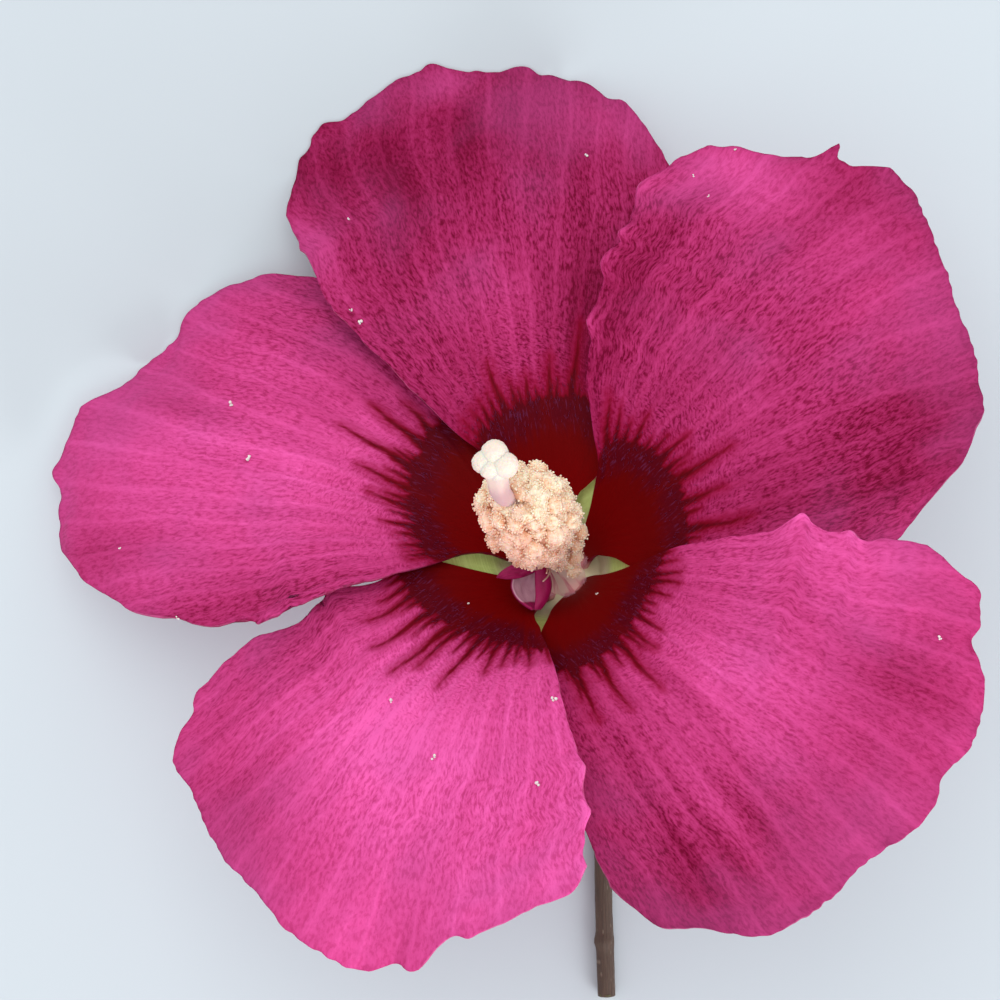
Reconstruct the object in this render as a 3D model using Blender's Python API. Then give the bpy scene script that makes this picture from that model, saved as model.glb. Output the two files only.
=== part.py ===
"""A hibiscus bloom picked with a short piece of its stem, laid face up on a surface.

Five broad petals in a spiral overlap, a green calyx and epicalyx, a staminal column with its
head of anthers, the pistil through it, and one stamen that has turned into a small petal.
Lengths are millimetres and angles degrees, until add_solid turns them into Blender's metres.
The bloom is shaped in its own frame: axis +Z, petals springing at z = 0, angles anticlockwise
from +X. It is then leaned over and set down, with its low petal margins pressed flat.
"""

import math
from typing import NamedTuple

import bmesh
import bpy
import numpy as np
from mathutils import Matrix, Vector

MM = 0.001  # metres

# How the bloom lies
LEAN = 28.0  # its axis from straight up
LEAN_TOWARD = 124.0  # the side it leans to
SPRING_AT = (7.4, -2.9, 10.5)  # where the petals spring; the origin is below the middle
SETTLE = 0.5  # height over which a margin eases on to the surface

# Petals
PETAL_THICK = 0.7
CLAW_RADIUS = 2.8  # from the axis to the foot of a petal
TWIST = 2.6  # a petal's left edge rises, and its right edge falls, by this much
TWIST_FROM, TWIST_OVER = 2.0, 25.0
WIDTH_STEP = 10.0  # a petal's half widths are given at every 10 mm of its length
SLOPE_AT = (0, 14, 28, 42, 60)  # and its slopes at these lengths
PETAL_COLUMNS, PETAL_ROWS = 22, 14

# Calyx, epicalyx and stem
GREEN_THICK = 0.7  # of the sepals and the bracts
OPEN_SEPAL_SLOPES = (72, 56, 36, 22, 16)
STEEP_SEPAL_SLOPES = (75, 62, 46, 30, 22)
STEEP_TOWARD = 304.0  # the side where the sepals stand steepest
SEPAL_SLOPE_STEP = 4.0
SEPAL_FOOT = (4.7, -0.5)  # radius and height where the sheet of the cup begins
SEPAL_NOTCH = 4.2  # length of the cup between two lobes
SEPALS = ((60, 9.6), (125, 10.5), (183, 12.4), (271, 8.8), (350, 9.2))  # direction, length
CALYX_UNDERSIDE = ((4.85, -2.4), (4.4, -4.6), (3.3, -6.3), (1.5, -7.2))
RECEPTACLE_TOP = -0.5
BRACTS, BRACT_LENGTH, COLLAR_LENGTH = 7, 10.5, 2.0
BRACT_FOOT = (1.95, -7.85)
BRACT_SLOPES = (26, 38, 58, 62)
BRACT_SLOPE_STEP = 3.5
BRACT_SHARE = 0.42  # of its own seventh of the ring, on either side of its middle line
STEM_TOP = -7.5
STEM_RADIUS = 1.1
STEM_SIDES = 12

# Staminal column, anthers and pistil
COLUMN_BORE = 0.8
COLUMN_OUTSIDE = ((1.9, -0.2), (1.75, 1.5), (1.35, 4.0), (1.2, 9.0), (1.15, 30.0))
HEAD_CORE = ((1.5, 11.0), (3.0, 11.2), (4.4, 15.0), (4.8, 20.0), (4.3, 25.0), (2.8, 29.4), (1.5, 29.8))
ANTHERS = 84
ANTHER_RADIUS = 1.0
STYLE_RADIUS = 0.5
STIGMA_LOBES, STIGMA_RADIUS, STIGMA_RING = 5, 1.35, 1.4
STIGMA_HEIGHT, STIGMA_TURN = 38.0, 90.0
PETALOID_TOWARD, PETALOID_LENGTH, PETALOID_HALF_WIDTH = -116.0, 6.0, 2.7
PETALOID_FOOT = (1.8, 8.2)
PETALOID_THICK = 0.6
PETALOID_CURL = 78.0  # turn of its sides upwards, from its middle line


class Petal(NamedTuple):
    """One petal. Half widths are angles about the bloom's axis, reach is length to the margin."""

    toward: float
    slopes: tuple
    left: tuple
    right: tuple
    reach: tuple
    pleats: tuple  # place across (-1 right edge, 1 left edge), width, height, where it begins
    waves: tuple  # waves across the margin, height, phase


PETALS = {
    "petal_top": Petal(
        toward=97,
        slopes=(62, 38, 12, -4, -22),
        left=(21, 24, 31.5, 34.5, 35, 33, 30),
        right=(21, 31, 38, 39, 38, 31, 27),
        reach=(42, 46.5, 51, 55.5, 57.5, 59.5, 60.5, 61.5, 60.5, 62.5, 63, 64, 64, 63.5, 61, 57, 49),
        pleats=((0.12, 0.07, -1.6, 0.7), (0.6, 0.15, -1.2, 0.45), (-0.35, 0.2, 0.8, 0.5)),
        waves=((5, 0.5, 1.0), (9, 0.35, 0.4)),
    ),
    "petal_upper_right": Petal(
        toward=30,
        slopes=(64, 42, 21, 2, -16),
        left=(19, 19, 38, 43, 41.5, 37, 34),
        right=(16, 36, 43, 44, 42, 36, 33),
        reach=(40, 45, 49.5, 53, 55, 56, 56.5, 57, 57.5, 58.5, 60, 61, 59, 55, 53.5, 52.5, 47.5),
        pleats=((0.62, 0.14, 1.4, 0.5), (0.36, 0.12, -1.1, 0.55), (-0.4, 0.18, -1.2, 0.45)),
        waves=((6, 0.5, 0.2), (10, 0.3, 2.0)),
    ),
    "petal_lower_right": Petal(
        toward=-40,
        slopes=(64, 42, 22, 4, -14),
        left=(22, 21, 30.5, 33.5, 34, 32.5, 30),
        right=(38, 48, 46, 41, 38, 35, 33),
        reach=(40, 48, 54, 57, 57.5, 58, 58, 58, 59, 59.5, 58.5, 59.5, 59, 57.5, 55.5, 54.5, 48),
        pleats=((-0.15, 0.08, -1.0, 0.35), (-0.42, 0.08, -0.9, 0.4), (0.45, 0.16, -1.3, 0.55)),
        waves=((6, 0.4, 1.7), (11, 0.3, 0.6)),
    ),
    "petal_lower_left": Petal(
        toward=-124,
        slopes=(64, 42, 22, 4, -14),
        left=(16, 28, 44.5, 48.5, 48.5, 45, 42),
        right=(30, 42, 44, 38, 34, 32.5, 31),
        reach=(37, 45, 49.5, 52, 52.5, 53, 54, 54, 54, 56, 56.5, 57, 55, 51.5, 50, 48.5, 43),
        pleats=((0.5, 0.07, -1.5, 0.65), (0.15, 0.2, 0.8, 0.5), (-0.55, 0.2, -0.9, 0.5)),
        waves=((5, 0.5, 2.4), (10, 0.35, 1.1)),
    ),
    "petal_left": Petal(
        toward=166,
        slopes=(62, 39, 13, -4, -24),
        left=(12, 15, 30, 33.5, 35, 33, 31),
        right=(24, 34, 41, 41, 38, 34, 32),
        reach=(43, 49, 52, 54, 55, 57, 57, 59, 61, 62, 60.5, 59.5, 57.5, 55, 48.5, 42, 35),
        pleats=((-0.38, 0.1, -1.3, 0.5), (-0.2, 0.12, 0.8, 0.5), (0.62, 0.12, -0.9, 0.5)),
        waves=((6, 0.45, 0.9), (9, 0.3, 2.2)),
    ),
}


def ease(x):
    """Rises smoothly from 0 at x = 0 to 1 at x = 1."""
    x = np.clip(x, 0, 1)
    return x * x * (3 - 2 * x)


def through(x, start, step, values):
    """A smooth curve through values that are given at even steps."""
    values = np.asarray(values, float)
    last = len(values) - 1
    place = np.clip((np.asarray(x, float) - start) / step, 0, last)
    i = np.clip(np.floor(place).astype(int), 0, last - 1)
    t = place - i
    before, here = values[np.maximum(i - 1, 0)], values[i]
    there, beyond = values[i + 1], values[np.minimum(i + 2, last)]
    bend = 2 * before - 5 * here + 4 * there - beyond + t * (3 * (here - there) + beyond - before)
    return here + 0.5 * t * (there - before + t * bend)


def climb(length, foot, slope_at, slopes):
    """Radius, height and slope at a length along a sheet that climbs outwards from its foot."""
    steps = np.linspace(0, 75, 601)
    slope = np.radians(np.interp(steps, slope_at, slopes))
    gap = steps[1]
    radius = foot[0] + np.concatenate([[0], np.cumsum(np.cos((slope[1:] + slope[:-1]) / 2) * gap)])
    height = foot[1] + np.concatenate([[0], np.cumsum(np.sin((slope[1:] + slope[:-1]) / 2) * gap)])
    return tuple(np.interp(length, steps, values) for values in (radius, height, slope))


def polar(radius, angle, height):
    """Points from a radius, an angle in degrees and a height."""
    turn = np.radians(angle)
    return np.stack(np.broadcast_arrays(radius * np.cos(turn), radius * np.sin(turn), height), -1)


def leaned(points):
    """Points of the bloom's own frame, as it lies."""
    tip = Matrix.Rotation(math.radians(LEAN_TOWARD), 3, "Z")
    lean = tip @ Matrix.Rotation(math.radians(LEAN), 3, "Y") @ tip.transposed()
    return points @ np.array(lean).T + SPRING_AT


def laid(points, clear):
    """Points kept at least a clear height above the surface, which they meet gently."""
    above = points[..., 2] - clear
    eased = np.where(above < -SETTLE, 0, (above + SETTLE) ** 2 / (4 * SETTLE))
    settled = points.copy()
    settled[..., 2] = clear + np.where(above > SETTLE, above, eased)
    return settled


def petal_middle(petal, across, along):
    """The middle of a petal's sheet, from place across (-1 to 1) and along (0 to 1)."""
    reach = through(across, -1, 2 / (len(petal.reach) - 1), petal.reach)
    length = along * reach
    half = np.where(
        across > 0,
        through(length, 0, WIDTH_STEP, petal.left),
        through(length, 0, WIDTH_STEP, petal.right),
    )
    radius, height, slope = climb(length, (CLAW_RADIUS, 0), SLOPE_AT, petal.slopes)
    height = height + TWIST * across * ease((length - TWIST_FROM) / TWIST_OVER)
    rise = np.zeros_like(length)
    for place, width, tall, begins in petal.pleats:
        grows = ease((along - begins) / (1.15 - begins))
        rise += tall * grows * np.exp(-(((across - place) / width) ** 2))
    for count, tall, phase in petal.waves:
        rise += tall * ease((along - 0.5) / 0.5) * np.sin(count * across + phase)
    radius = radius - rise * np.sin(slope)
    height = height + rise * np.cos(slope)
    return polar(radius, petal.toward + across * half, height)


def add_solid(name, points, faces, material):
    """An object from points in millimetres and faces that all turn outwards."""
    mesh = bpy.data.meshes.new(name)
    mesh.from_pydata((np.asarray(points) * MM).tolist(), [], faces)
    mesh.materials.append(material)
    mesh.shade_smooth()
    mesh.set_sharp_from_angle(angle=math.radians(50))
    solid = bpy.data.objects.new(name, mesh)
    bpy.context.scene.collection.objects.link(solid)
    return solid


def sheet_normals(middle):
    """Unit normals of a grid of points, rows first."""
    normal = np.cross(np.gradient(middle, axis=1), np.gradient(middle, axis=0))
    return normal / np.linalg.norm(normal, axis=-1, keepdims=True)


def split_quad(a, b, c, d):
    """The two triangles of a quad, split between its first and third corners."""
    return [(a, b, c), (a, c, d)]


def blade(name, middle, thick, material):
    """A thin closed sheet about a grid of points, with both faces split alike."""
    rows, columns = middle.shape[:2]
    offset = sheet_normals(middle) * thick / 2
    points = np.concatenate([(middle + offset).reshape(-1, 3), (middle - offset).reshape(-1, 3)])
    under = rows * columns
    faces = []
    for i in range(rows - 1):
        for j in range(columns - 1):
            a = i * columns + j
            quad = (a, a + 1, a + columns + 1, a + columns)
            for x, y, z in split_quad(*quad):
                faces += [(x, y, z), (under + x, under + z, under + y)]
    first_row = list(range(columns))
    left_side = [i * columns + columns - 1 for i in range(1, rows)]
    last_row = [(rows - 1) * columns + j for j in range(columns - 2, -1, -1)]
    right_side = [i * columns for i in range(rows - 2, 0, -1)]
    edge = first_row + left_side + last_row + right_side
    for a, b in zip(edge, edge[1:] + edge[:1]):
        faces += split_quad(b, a, under + a, under + b)
    return add_solid(name, points, faces, material)


def ring_solid(name, rings, material, closed_section):
    """A solid from rings of points, each turning anticlockwise seen from above.

    The rings run from the underside outwards and back over the top. With closed_section the
    last one joins the first, round a hole. Otherwise the first and last are filled.
    """
    rings = np.asarray(rings)
    count, around = rings.shape[:2]
    faces = []
    for i in range(count if closed_section else count - 1):
        low, high = i * around, (i + 1) % count * around
        for j in range(around):
            k = (j + 1) % around
            faces += split_quad(low + j, low + k, high + k, high + j)
    points = rings.reshape(-1, 3)
    if not closed_section:
        points = np.concatenate([points, rings[0].mean(0)[None], rings[-1].mean(0)[None]])
        bottom, top, last = count * around, count * around + 1, (count - 1) * around
        for j in range(around):
            k = (j + 1) % around
            faces += [(bottom, k, j), (top, last + j, last + k)]
    return add_solid(name, points, faces, material)


def sepal_climb(length, angles):
    """Radius, height and slope of the calyx, which stands steeper on one side."""
    slope_at = np.arange(len(OPEN_SEPAL_SLOPES)) * SEPAL_SLOPE_STEP
    low = climb(length, SEPAL_FOOT, slope_at, OPEN_SEPAL_SLOPES)
    high = climb(length, SEPAL_FOOT, slope_at, STEEP_SEPAL_SLOPES)
    steep = (1 + np.cos(np.radians(angles - STEEP_TOWARD))) / 2
    return tuple(a + (b - a) * steep for a, b in zip(low, high))


def bract_climb(length, angles):
    """Radius, height and slope of the epicalyx, the same all round."""
    slope_at = np.arange(len(BRACT_SLOPES)) * BRACT_SLOPE_STEP
    return climb(length, BRACT_FOOT, slope_at, BRACT_SLOPES)


def lobed_sheet(angles, reach, rows, rising):
    """Underside and top rings of a sheet round the axis, with a length for each direction."""
    under, top = [], []
    for v in np.linspace(0, 1, rows):
        radius, height, slope = rising(v * reach, angles)
        out, up = np.sin(slope) * GREEN_THICK / 2, np.cos(slope) * GREEN_THICK / 2
        under.append(leaned(polar(radius + out, angles, height - up)))
        top.append(leaned(polar(radius - out, angles, height + up)))
    return under, top[::-1]


def flat_ring(radius, height, angles):
    """One plain ring about the bloom's axis, as it lies."""
    return leaned(polar(np.full(len(angles), radius), angles, np.full(len(angles), height)))


def finish(name, colour, roughness):
    """A plain material."""
    material = bpy.data.materials.new(name)
    material.use_nodes = True
    surface = material.node_tree.nodes["Principled BSDF"]
    surface.inputs["Base Color"].default_value = (*colour, 1)
    surface.inputs["Roughness"].default_value = roughness
    surface.inputs["Metallic"].default_value = 0
    return material


def join_into(solid, pieces):
    """Fuses loose pieces into a solid with one Boolean union, and removes them."""
    group = bpy.data.collections.new(solid.name + "_pieces")
    bpy.context.scene.collection.children.link(group)
    for piece in pieces:
        group.objects.link(piece)
        bpy.context.scene.collection.objects.unlink(piece)
    union = solid.modifiers.new("union", "BOOLEAN")
    union.operation = "UNION"
    union.operand_type = "COLLECTION"
    union.collection = group
    union.solver = "EXACT"
    graph = bpy.context.evaluated_depsgraph_get()
    fused = bpy.data.meshes.new_from_object(solid.evaluated_get(graph))
    solid.modifiers.clear()
    solid.data = fused
    for piece in pieces:
        bpy.data.objects.remove(piece)
    bpy.data.collections.remove(group)


def ball(name, centre, radius, detail, material, stretch=1.0, along=(0, 0, 1)):
    """A faceted ball in the bloom's own frame, stretched along a direction, as it lies."""
    shape = bmesh.new()
    bmesh.ops.create_icosphere(shape, subdivisions=detail, radius=radius)
    turn = Vector((0, 0, 1)).rotation_difference(Vector(along)).to_matrix()
    points = [turn @ Vector((v.co.x, v.co.y, v.co.z * stretch)) for v in shape.verts]
    faces = [[v.index for v in face.verts] for face in shape.faces]
    shape.free()
    return add_solid(name, leaned(np.array(points) + centre), faces, material)


def make_petals():
    """The five petals, each with its own finish."""
    colours = {
        "petal_top": (0.42, 0.02, 0.12),
        "petal_upper_right": (0.5, 0.03, 0.18),
        "petal_lower_right": (0.52, 0.03, 0.2),
        "petal_lower_left": (0.68, 0.06, 0.28),
        "petal_left": (0.6, 0.05, 0.25),
    }
    across, along = np.meshgrid(
        np.linspace(-1, 1, PETAL_COLUMNS + 1), np.linspace(0, 1, PETAL_ROWS + 1)
    )
    for name, petal in PETALS.items():
        middle = laid(leaned(petal_middle(petal, across, along)), PETAL_THICK / 2)
        blade(name, middle, PETAL_THICK, finish(name, colours[name], 0.55))


def make_calyx():
    """Green cup with five pointed lobes, solid below the petals' feet."""
    steps = np.array((-1, -0.8, -0.6, -0.4, -0.2, 0, 0.2, 0.4, 0.6, 0.8))
    angles, reach = [], []
    for i, (toward, length) in enumerate(SEPALS):
        before = (SEPALS[i - 1][0] - toward) % 360 - 360
        after = (SEPALS[(i + 1) % len(SEPALS)][0] - toward) % 360
        for a in steps:
            angles.append(toward + a * (after if a > 0 else -before) / 2)
            reach.append(SEPAL_NOTCH + (length - SEPAL_NOTCH) * (1 - abs(a)) ** 0.75)
    angles, reach = np.array(angles), np.array(reach)
    under, top = lobed_sheet(angles, reach, 6, sepal_climb)
    below = [flat_ring(radius, height, angles) for radius, height in reversed(CALYX_UNDERSIDE)]
    seat = [flat_ring(SEPAL_FOOT[0] - 0.6, RECEPTACLE_TOP, angles)]
    green = finish("sepal_green", (0.2, 0.32, 0.07), 0.6)
    ring_solid("calyx", below + under + top[:-1] + seat, green, False)


def make_epicalyx():
    """Ring of narrow bracts on a collar round the stalk."""
    steps = np.array((-1 / BRACT_SHARE, -1, -0.76, -0.48, -0.24, 0, 0.24, 0.48, 0.76, 1))
    sector = 360 / BRACTS
    spread = steps * BRACT_SHARE * sector / 2
    angles = np.concatenate([i * sector + spread for i in range(BRACTS)])
    narrow = np.clip(1 - np.abs(steps), 0, 1) ** 0.6
    reach = np.tile(COLLAR_LENGTH + (BRACT_LENGTH - COLLAR_LENGTH) * narrow, BRACTS)
    under, top = lobed_sheet(angles, reach, 6, bract_climb)
    ring_solid("epicalyx", under + top, finish("bract_green", (0.14, 0.26, 0.05), 0.6), True)


def stem_route():
    """Points down the stem as it lies, and its radius at each."""
    axis = leaned(np.array((0.0, 0.0, 1.0))) - leaned(np.zeros(3))
    top = leaned(np.array((0.0, 0.0, STEM_TOP)))
    floor = STEM_RADIUS
    bend = top - axis * 1.2
    marks = np.array(
        [
            top,
            top - axis * 0.6,
            bend,
            bend + (0.9, -1.5, (floor - bend[2]) * 0.62),
            (bend[0] + 2.0, bend[1] - 4.4, floor + 0.1),
            (bend[0] + 2.9, bend[1] - 9.0, floor),
            (bend[0] + 3.3, bend[1] - 17.0, floor),
            (bend[0] + 3.4, bend[1] - 27.0, floor),
            (bend[0] + 3.6, bend[1] - 37.0, floor),
            (bend[0] + 4.0, bend[1] - 48.0, floor),
        ]
    )
    radii = (1.3, 1.2, 1.05, 0.98, 1.0, 1.1, 1.1, 1.05, 1.07, 1.1)
    place = np.linspace(0, len(marks) - 1, 28)
    route = np.stack([through(place, 0, 1, marks[:, k]) for k in range(3)], -1)
    return route, through(place, 0, 1, radii)


def make_stem():
    """Stalk and shoot in one, lying on the surface beyond the bend."""
    route, radii = stem_route()
    ahead = np.gradient(route, axis=0)
    ahead /= np.linalg.norm(ahead, axis=1, keepdims=True)
    side = np.cross(ahead, (1.0, 0.0, 0.0))
    side /= np.linalg.norm(side, axis=1, keepdims=True)
    other = np.cross(ahead, side)
    turn = np.radians(np.arange(STEM_SIDES) * 360 / STEM_SIDES)
    round_it = np.cos(turn)[:, None, None] * side + np.sin(turn)[:, None, None] * other
    rings = (route + round_it * radii[:, None]).transpose(1, 0, 2)
    rings[..., 2] = np.maximum(rings[..., 2], 0)
    ring_solid("stem", rings, finish("stem_brown", (0.08, 0.045, 0.03), 0.6), False)


def make_column():
    """Pale tube that carries the anthers."""
    angles = np.arange(16) * 360 / 16
    outside = [flat_ring(radius, height, angles) for radius, height in COLUMN_OUTSIDE]
    ends = (COLUMN_OUTSIDE[-1][1], COLUMN_OUTSIDE[0][1])
    bore = [flat_ring(COLUMN_BORE, height, angles) for height in ends]
    ring_solid("staminal_column", outside + bore, finish("column_pale", (0.75, 0.5, 0.5), 0.5), True)


def make_anthers():
    """Dense head of anthers round the column, on a smaller core."""
    pollen = finish("pollen_cream", (0.8, 0.58, 0.42), 0.8)
    angles = np.arange(18) * 360 / 18
    rings = [flat_ring(radius, height, angles) for radius, height in HEAD_CORE]
    core = ring_solid("anthers", rings, pollen, True)
    seeded = np.random.default_rng(7)
    low, high = HEAD_CORE[0][1], HEAD_CORE[-1][1]
    golden = 180 * (3 - math.sqrt(5))
    blobs = []
    for i in range(ANTHERS):
        t = (i + 0.5) / ANTHERS
        height = low + 0.4 + (high - low - 0.8) * t + seeded.uniform(-0.4, 0.4)
        shell = np.interp(height, [h for _, h in HEAD_CORE], [r for r, _ in HEAD_CORE])
        radius = max(shell + seeded.uniform(0.0, 0.8), 2.8)
        outward = polar(1.0, i * golden + seeded.uniform(-12, 12), 0.0)
        centre = outward * radius + (0, 0, height)
        size = ANTHER_RADIUS * seeded.uniform(0.85, 1.2)
        blobs.append(ball("anther", centre, size, 1, pollen, 1.15, outward + (0, 0, 0.3)))
    join_into(core, blobs)


def make_pistil():
    """Ovary, style through the column, and five stigma lobes."""
    ivory = finish("stigma_ivory", (0.85, 0.68, 0.6), 0.45)
    angles = np.arange(12) * 360 / 12
    body = (
        (0.35, 0.1),
        (STYLE_RADIUS, 0.8),
        (STYLE_RADIUS, 30.6),
        (1.15, 31.6),
        (1.35, 34.0),
        (1.2, STIGMA_HEIGHT),
    )
    rings = [flat_ring(radius, height, angles) for radius, height in body]
    style = ring_solid("pistil", rings, ivory, False)
    lobes = []
    for i in range(STIGMA_LOBES):
        centre = polar(STIGMA_RING, STIGMA_TURN + i * 360 / STIGMA_LOBES, STIGMA_HEIGHT - 0.3)
        lobes.append(ball("stigma_lobe", centre, STIGMA_RADIUS, 2, ivory))
    join_into(style, lobes)


def make_petaloid():
    """The small curled petal just below the anthers."""
    across, along = np.meshgrid(np.linspace(-1, 1, 11), np.linspace(0, 1, 9))
    width = PETALOID_HALF_WIDTH * np.sqrt(np.clip(np.sin(np.pi * (0.08 + 0.8 * along)), 0, 1))
    curl = np.radians(PETALOID_CURL) * across
    outward = PETALOID_FOOT[0] + PETALOID_LENGTH * np.sin(1.25 * along)
    height = PETALOID_FOOT[1] + 1.2 * along + 1.6 * along**3 + width * (1 - np.cos(curl)) * 0.75
    sideways = width * np.sin(curl)
    turn = math.radians(PETALOID_TOWARD)
    middle = np.stack(
        [
            outward * math.cos(turn) - sideways * math.sin(turn),
            outward * math.sin(turn) + sideways * math.cos(turn),
            height,
        ],
        -1,
    )
    magenta = finish("petaloid_magenta", (0.45, 0.02, 0.15), 0.5)
    blade("petaloid_stamen", leaned(middle), PETALOID_THICK, magenta)


def main():
    for thing in list(bpy.data.objects):
        bpy.data.objects.remove(thing)
    make_petals()
    make_calyx()
    make_epicalyx()
    make_stem()
    make_column()
    make_anthers()
    make_pistil()
    make_petaloid()


main()
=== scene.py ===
"""The looks of a hibiscus bloom, picked with a short piece of its stem and laid face up.

Lengths are millimetres and angles degrees, until new_piece turns them into metres. The bloom is
shaped in its own frame, with its axis along +Z and its petals springing at z = 0, and is then
leaned over and set down in the same way as its solids.
"""

import math
from typing import NamedTuple

import bmesh
import bpy
import numpy as np
from mathutils import Matrix, Vector


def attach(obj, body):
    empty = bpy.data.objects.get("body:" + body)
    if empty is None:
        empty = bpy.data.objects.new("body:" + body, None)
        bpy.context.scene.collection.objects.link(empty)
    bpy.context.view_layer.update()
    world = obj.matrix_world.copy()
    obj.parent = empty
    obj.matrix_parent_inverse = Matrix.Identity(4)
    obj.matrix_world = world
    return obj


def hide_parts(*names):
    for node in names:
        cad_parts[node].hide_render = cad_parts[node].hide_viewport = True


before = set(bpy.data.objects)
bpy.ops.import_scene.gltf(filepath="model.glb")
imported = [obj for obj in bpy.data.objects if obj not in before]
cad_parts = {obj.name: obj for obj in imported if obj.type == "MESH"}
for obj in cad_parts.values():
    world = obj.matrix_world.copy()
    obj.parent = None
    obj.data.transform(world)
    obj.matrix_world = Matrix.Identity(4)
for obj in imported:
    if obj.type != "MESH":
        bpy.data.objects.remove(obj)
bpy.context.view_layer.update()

MM = 0.001  # metres

# How the bloom lies
LEAN, LEAN_TOWARD = 28.0, 124.0
SPRING_AT = (7.4, -2.9, 10.5)
SETTLE = 0.5

# Petals
CLAW_RADIUS = 2.8
EYE_PLACES = (-1, -0.5, 0, 0.5, 1)  # places across at which the length of a petal's eye is given
FRINGE, FRINGE_REACH = 13, (0.2, 0.9, 2.8)  # short flames between the long ones: least, usual, most
FLAME_FOOT, FRINGE_FOOT = 0.8, 0.48  # half width of a long and a short flame at its foot
TWIST, TWIST_FROM, TWIST_OVER = 2.6, 2.0, 25.0
SLOPE_AT = (0, 14, 28, 42, 60)
PETAL_COLUMNS, PETAL_ROWS = 200, 160
PETAL_THICK = ((0, 0.6), (8, 0.42), (30, 0.32), (70, 0.24))  # at lengths from the foot
# Uneven margins, sides and frill: height, size of the bumps and own seed
MARGIN_WAVER = ((0.22, 1.9, 0), (0.13, 0.7, 50))
SIDE_WAVER = ((0.3, 3.6, 3), (0.28, 1.2, 4))
FRILL, FRILL_DEPTH = ((0.7, 4.6, 5), (0.4, 2.1, 6)), 2.8
PUFFS, PUFF_HEIGHT = 4.5, 0.34  # soft pads between the veins, to each side of the middle
EYE_HAIRS, CLAW_HAIRS, PETAL_HAIR_RADIUS = 240, 150, 0.022

# Calyx, epicalyx and stem
GREEN_THICK = 0.6
SEPAL_STEPS, SEPAL_ROWS, BRACT_ROWS = 20, 26, 24
SEPAL_HAIRS, SEPAL_HAIR_RADIUS = 900, 0.018
OPEN_SEPAL_SLOPES = (72, 56, 36, 22, 16)
STEEP_SEPAL_SLOPES = (75, 62, 46, 30, 22)
STEEP_TOWARD, SEPAL_SLOPE_STEP = 304.0, 4.0
SEPAL_FOOT, SEPAL_NOTCH = (4.7, -0.5), 4.2
SEPALS = ((60, 9.8), (125, 10.5), (183, 12.4), (271, 8.8), (350, 9.2))
CALYX_UNDERSIDE = ((4.85, -2.4), (4.4, -4.6), (3.3, -6.3), (1.5, -7.2))
RECEPTACLE_TOP = -0.5
BRACTS, BRACT_LENGTH, COLLAR_LENGTH = 7, 10.5, 2.0
BRACT_FOOT, BRACT_SLOPES, BRACT_SLOPE_STEP = (1.95, -7.85), (26, 38, 58, 62), 3.5
BRACT_SHARE = 0.42
STEM_TOP, STEM_RADIUS = -7.5, 1.1
STEM_RADII = (1.3, 1.2, 1.05, 0.98, 1.0, 1.1, 1.1, 1.05, 1.07, 1.1)
STEM_SIDES, STEM_RINGS, LEAF_SCARS = 40, 260, (21.0, 44.0)  # scars at lengths along the stem
# The cut face: share of the stem's radius, and height
CUT_FACE = (
    (1.0, -0.25), (0.98, 0.0), (0.8, 0.05), (0.74, 0.02), (0.34, 0.03), (0.3, -0.06), (0.1, -0.05),
)

# Staminal column, anthers and pistil
COLUMN_OUTSIDE = ((2.5, -0.7), (2.1, 0.4), (1.75, 1.5), (1.35, 4.0), (1.2, 9.0), (1.15, 30.0))
COLUMN_SIDES, PISTIL_SIDES = 48, 40
HEAD_SHELL = ((1.5, 12.6), (2.2, 12.8), (2.9, 15.2), (4.1, 19.5), (4.3, 23.0), (2.9, 27.8), (1.5, 28.4))
# Anthers below the head and in its gaps, and how far the head hangs aside: right, up and
# towards the camera
LOW_ANTHERS = (
    (0.7, 1.5, 8.6), (1.2, 0.5, 8.0), (1.4, 2.2, 9.6), (-0.4, 1.4, 9.8), (1.8, 4.9, 14.0),
    (1.3, 3.4, 13.0), (-4.9, 9.1, 26.6), (-5.3, 9.8, 26.2), (-0.8, 6.9, 23.2), (-3.0, 5.0, 24.5),
)
HEAD_ASIDE = (0.6, 0.15, 0.0)
ANTHERS, CROWN_ANTHERS, GRAINS = 112, 22, 58
KIDNEY = (1.25, 0.92, 0.95)  # half length, depth and width of an anther
GRAIN_RADII = (0.08, 0.155)
FILAMENTS = 44
# Lobes of the stigma: right, up and towards the camera, and radius
STIGMA_LOBES = (
    (0.0, 1.0, 0.1, 1.42), (-1.15, 0.1, 0.0, 1.18), (1.05, -0.2, 0.25, 1.36),
    (-0.45, -0.55, 0.2, 1.12), (0.35, -0.85, -0.1, 1.05),
)
STIGMA_HEIGHT = 37.7
STYLE_OUTSIDE = (
    (0.35, -0.3), (0.5, 0.8), (0.5, 26.0), (0.95, 28.0), (1.1, 31.0), (1.15, 34.0),
    (1.35, 36.0), (1.35, 37.4), (0.9, 38.6),
)
STYLE_BOW, STYLE_END = (-0.55, -0.3, 0.0), (0.3, 0.45, 0.0)  # right, up and towards the camera
PETALOID_AT, BOWL_THICK, FLAP_THICK = (-2.6, -4.0, 8.2), 0.34, 0.3

# The camera looks from almost straight above, along the photograph's line of sight
VIEW = 22.0  # from the bloom's axis
VIEW_DISTANCE, FOCAL_PIXELS, FRAME_PIXELS = 330.0, 2900.0, 1000.0
SPRING_PIXEL = (562.0, 574.0)
# Soft lights: name, place, side, watts and colour
LIGHTS = (
    ("window", (-0.35, 1.0, 2.1), 1.8, 20.0, (1.0, 0.98, 0.96)),
    ("fill", (1.2, -1.6, 0.9), 1.2, 29.0, (0.97, 0.99, 1.0)),
)
SKEW = (0.36, 0.48, 0.8)  # a direction that no thread or hair follows


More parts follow.
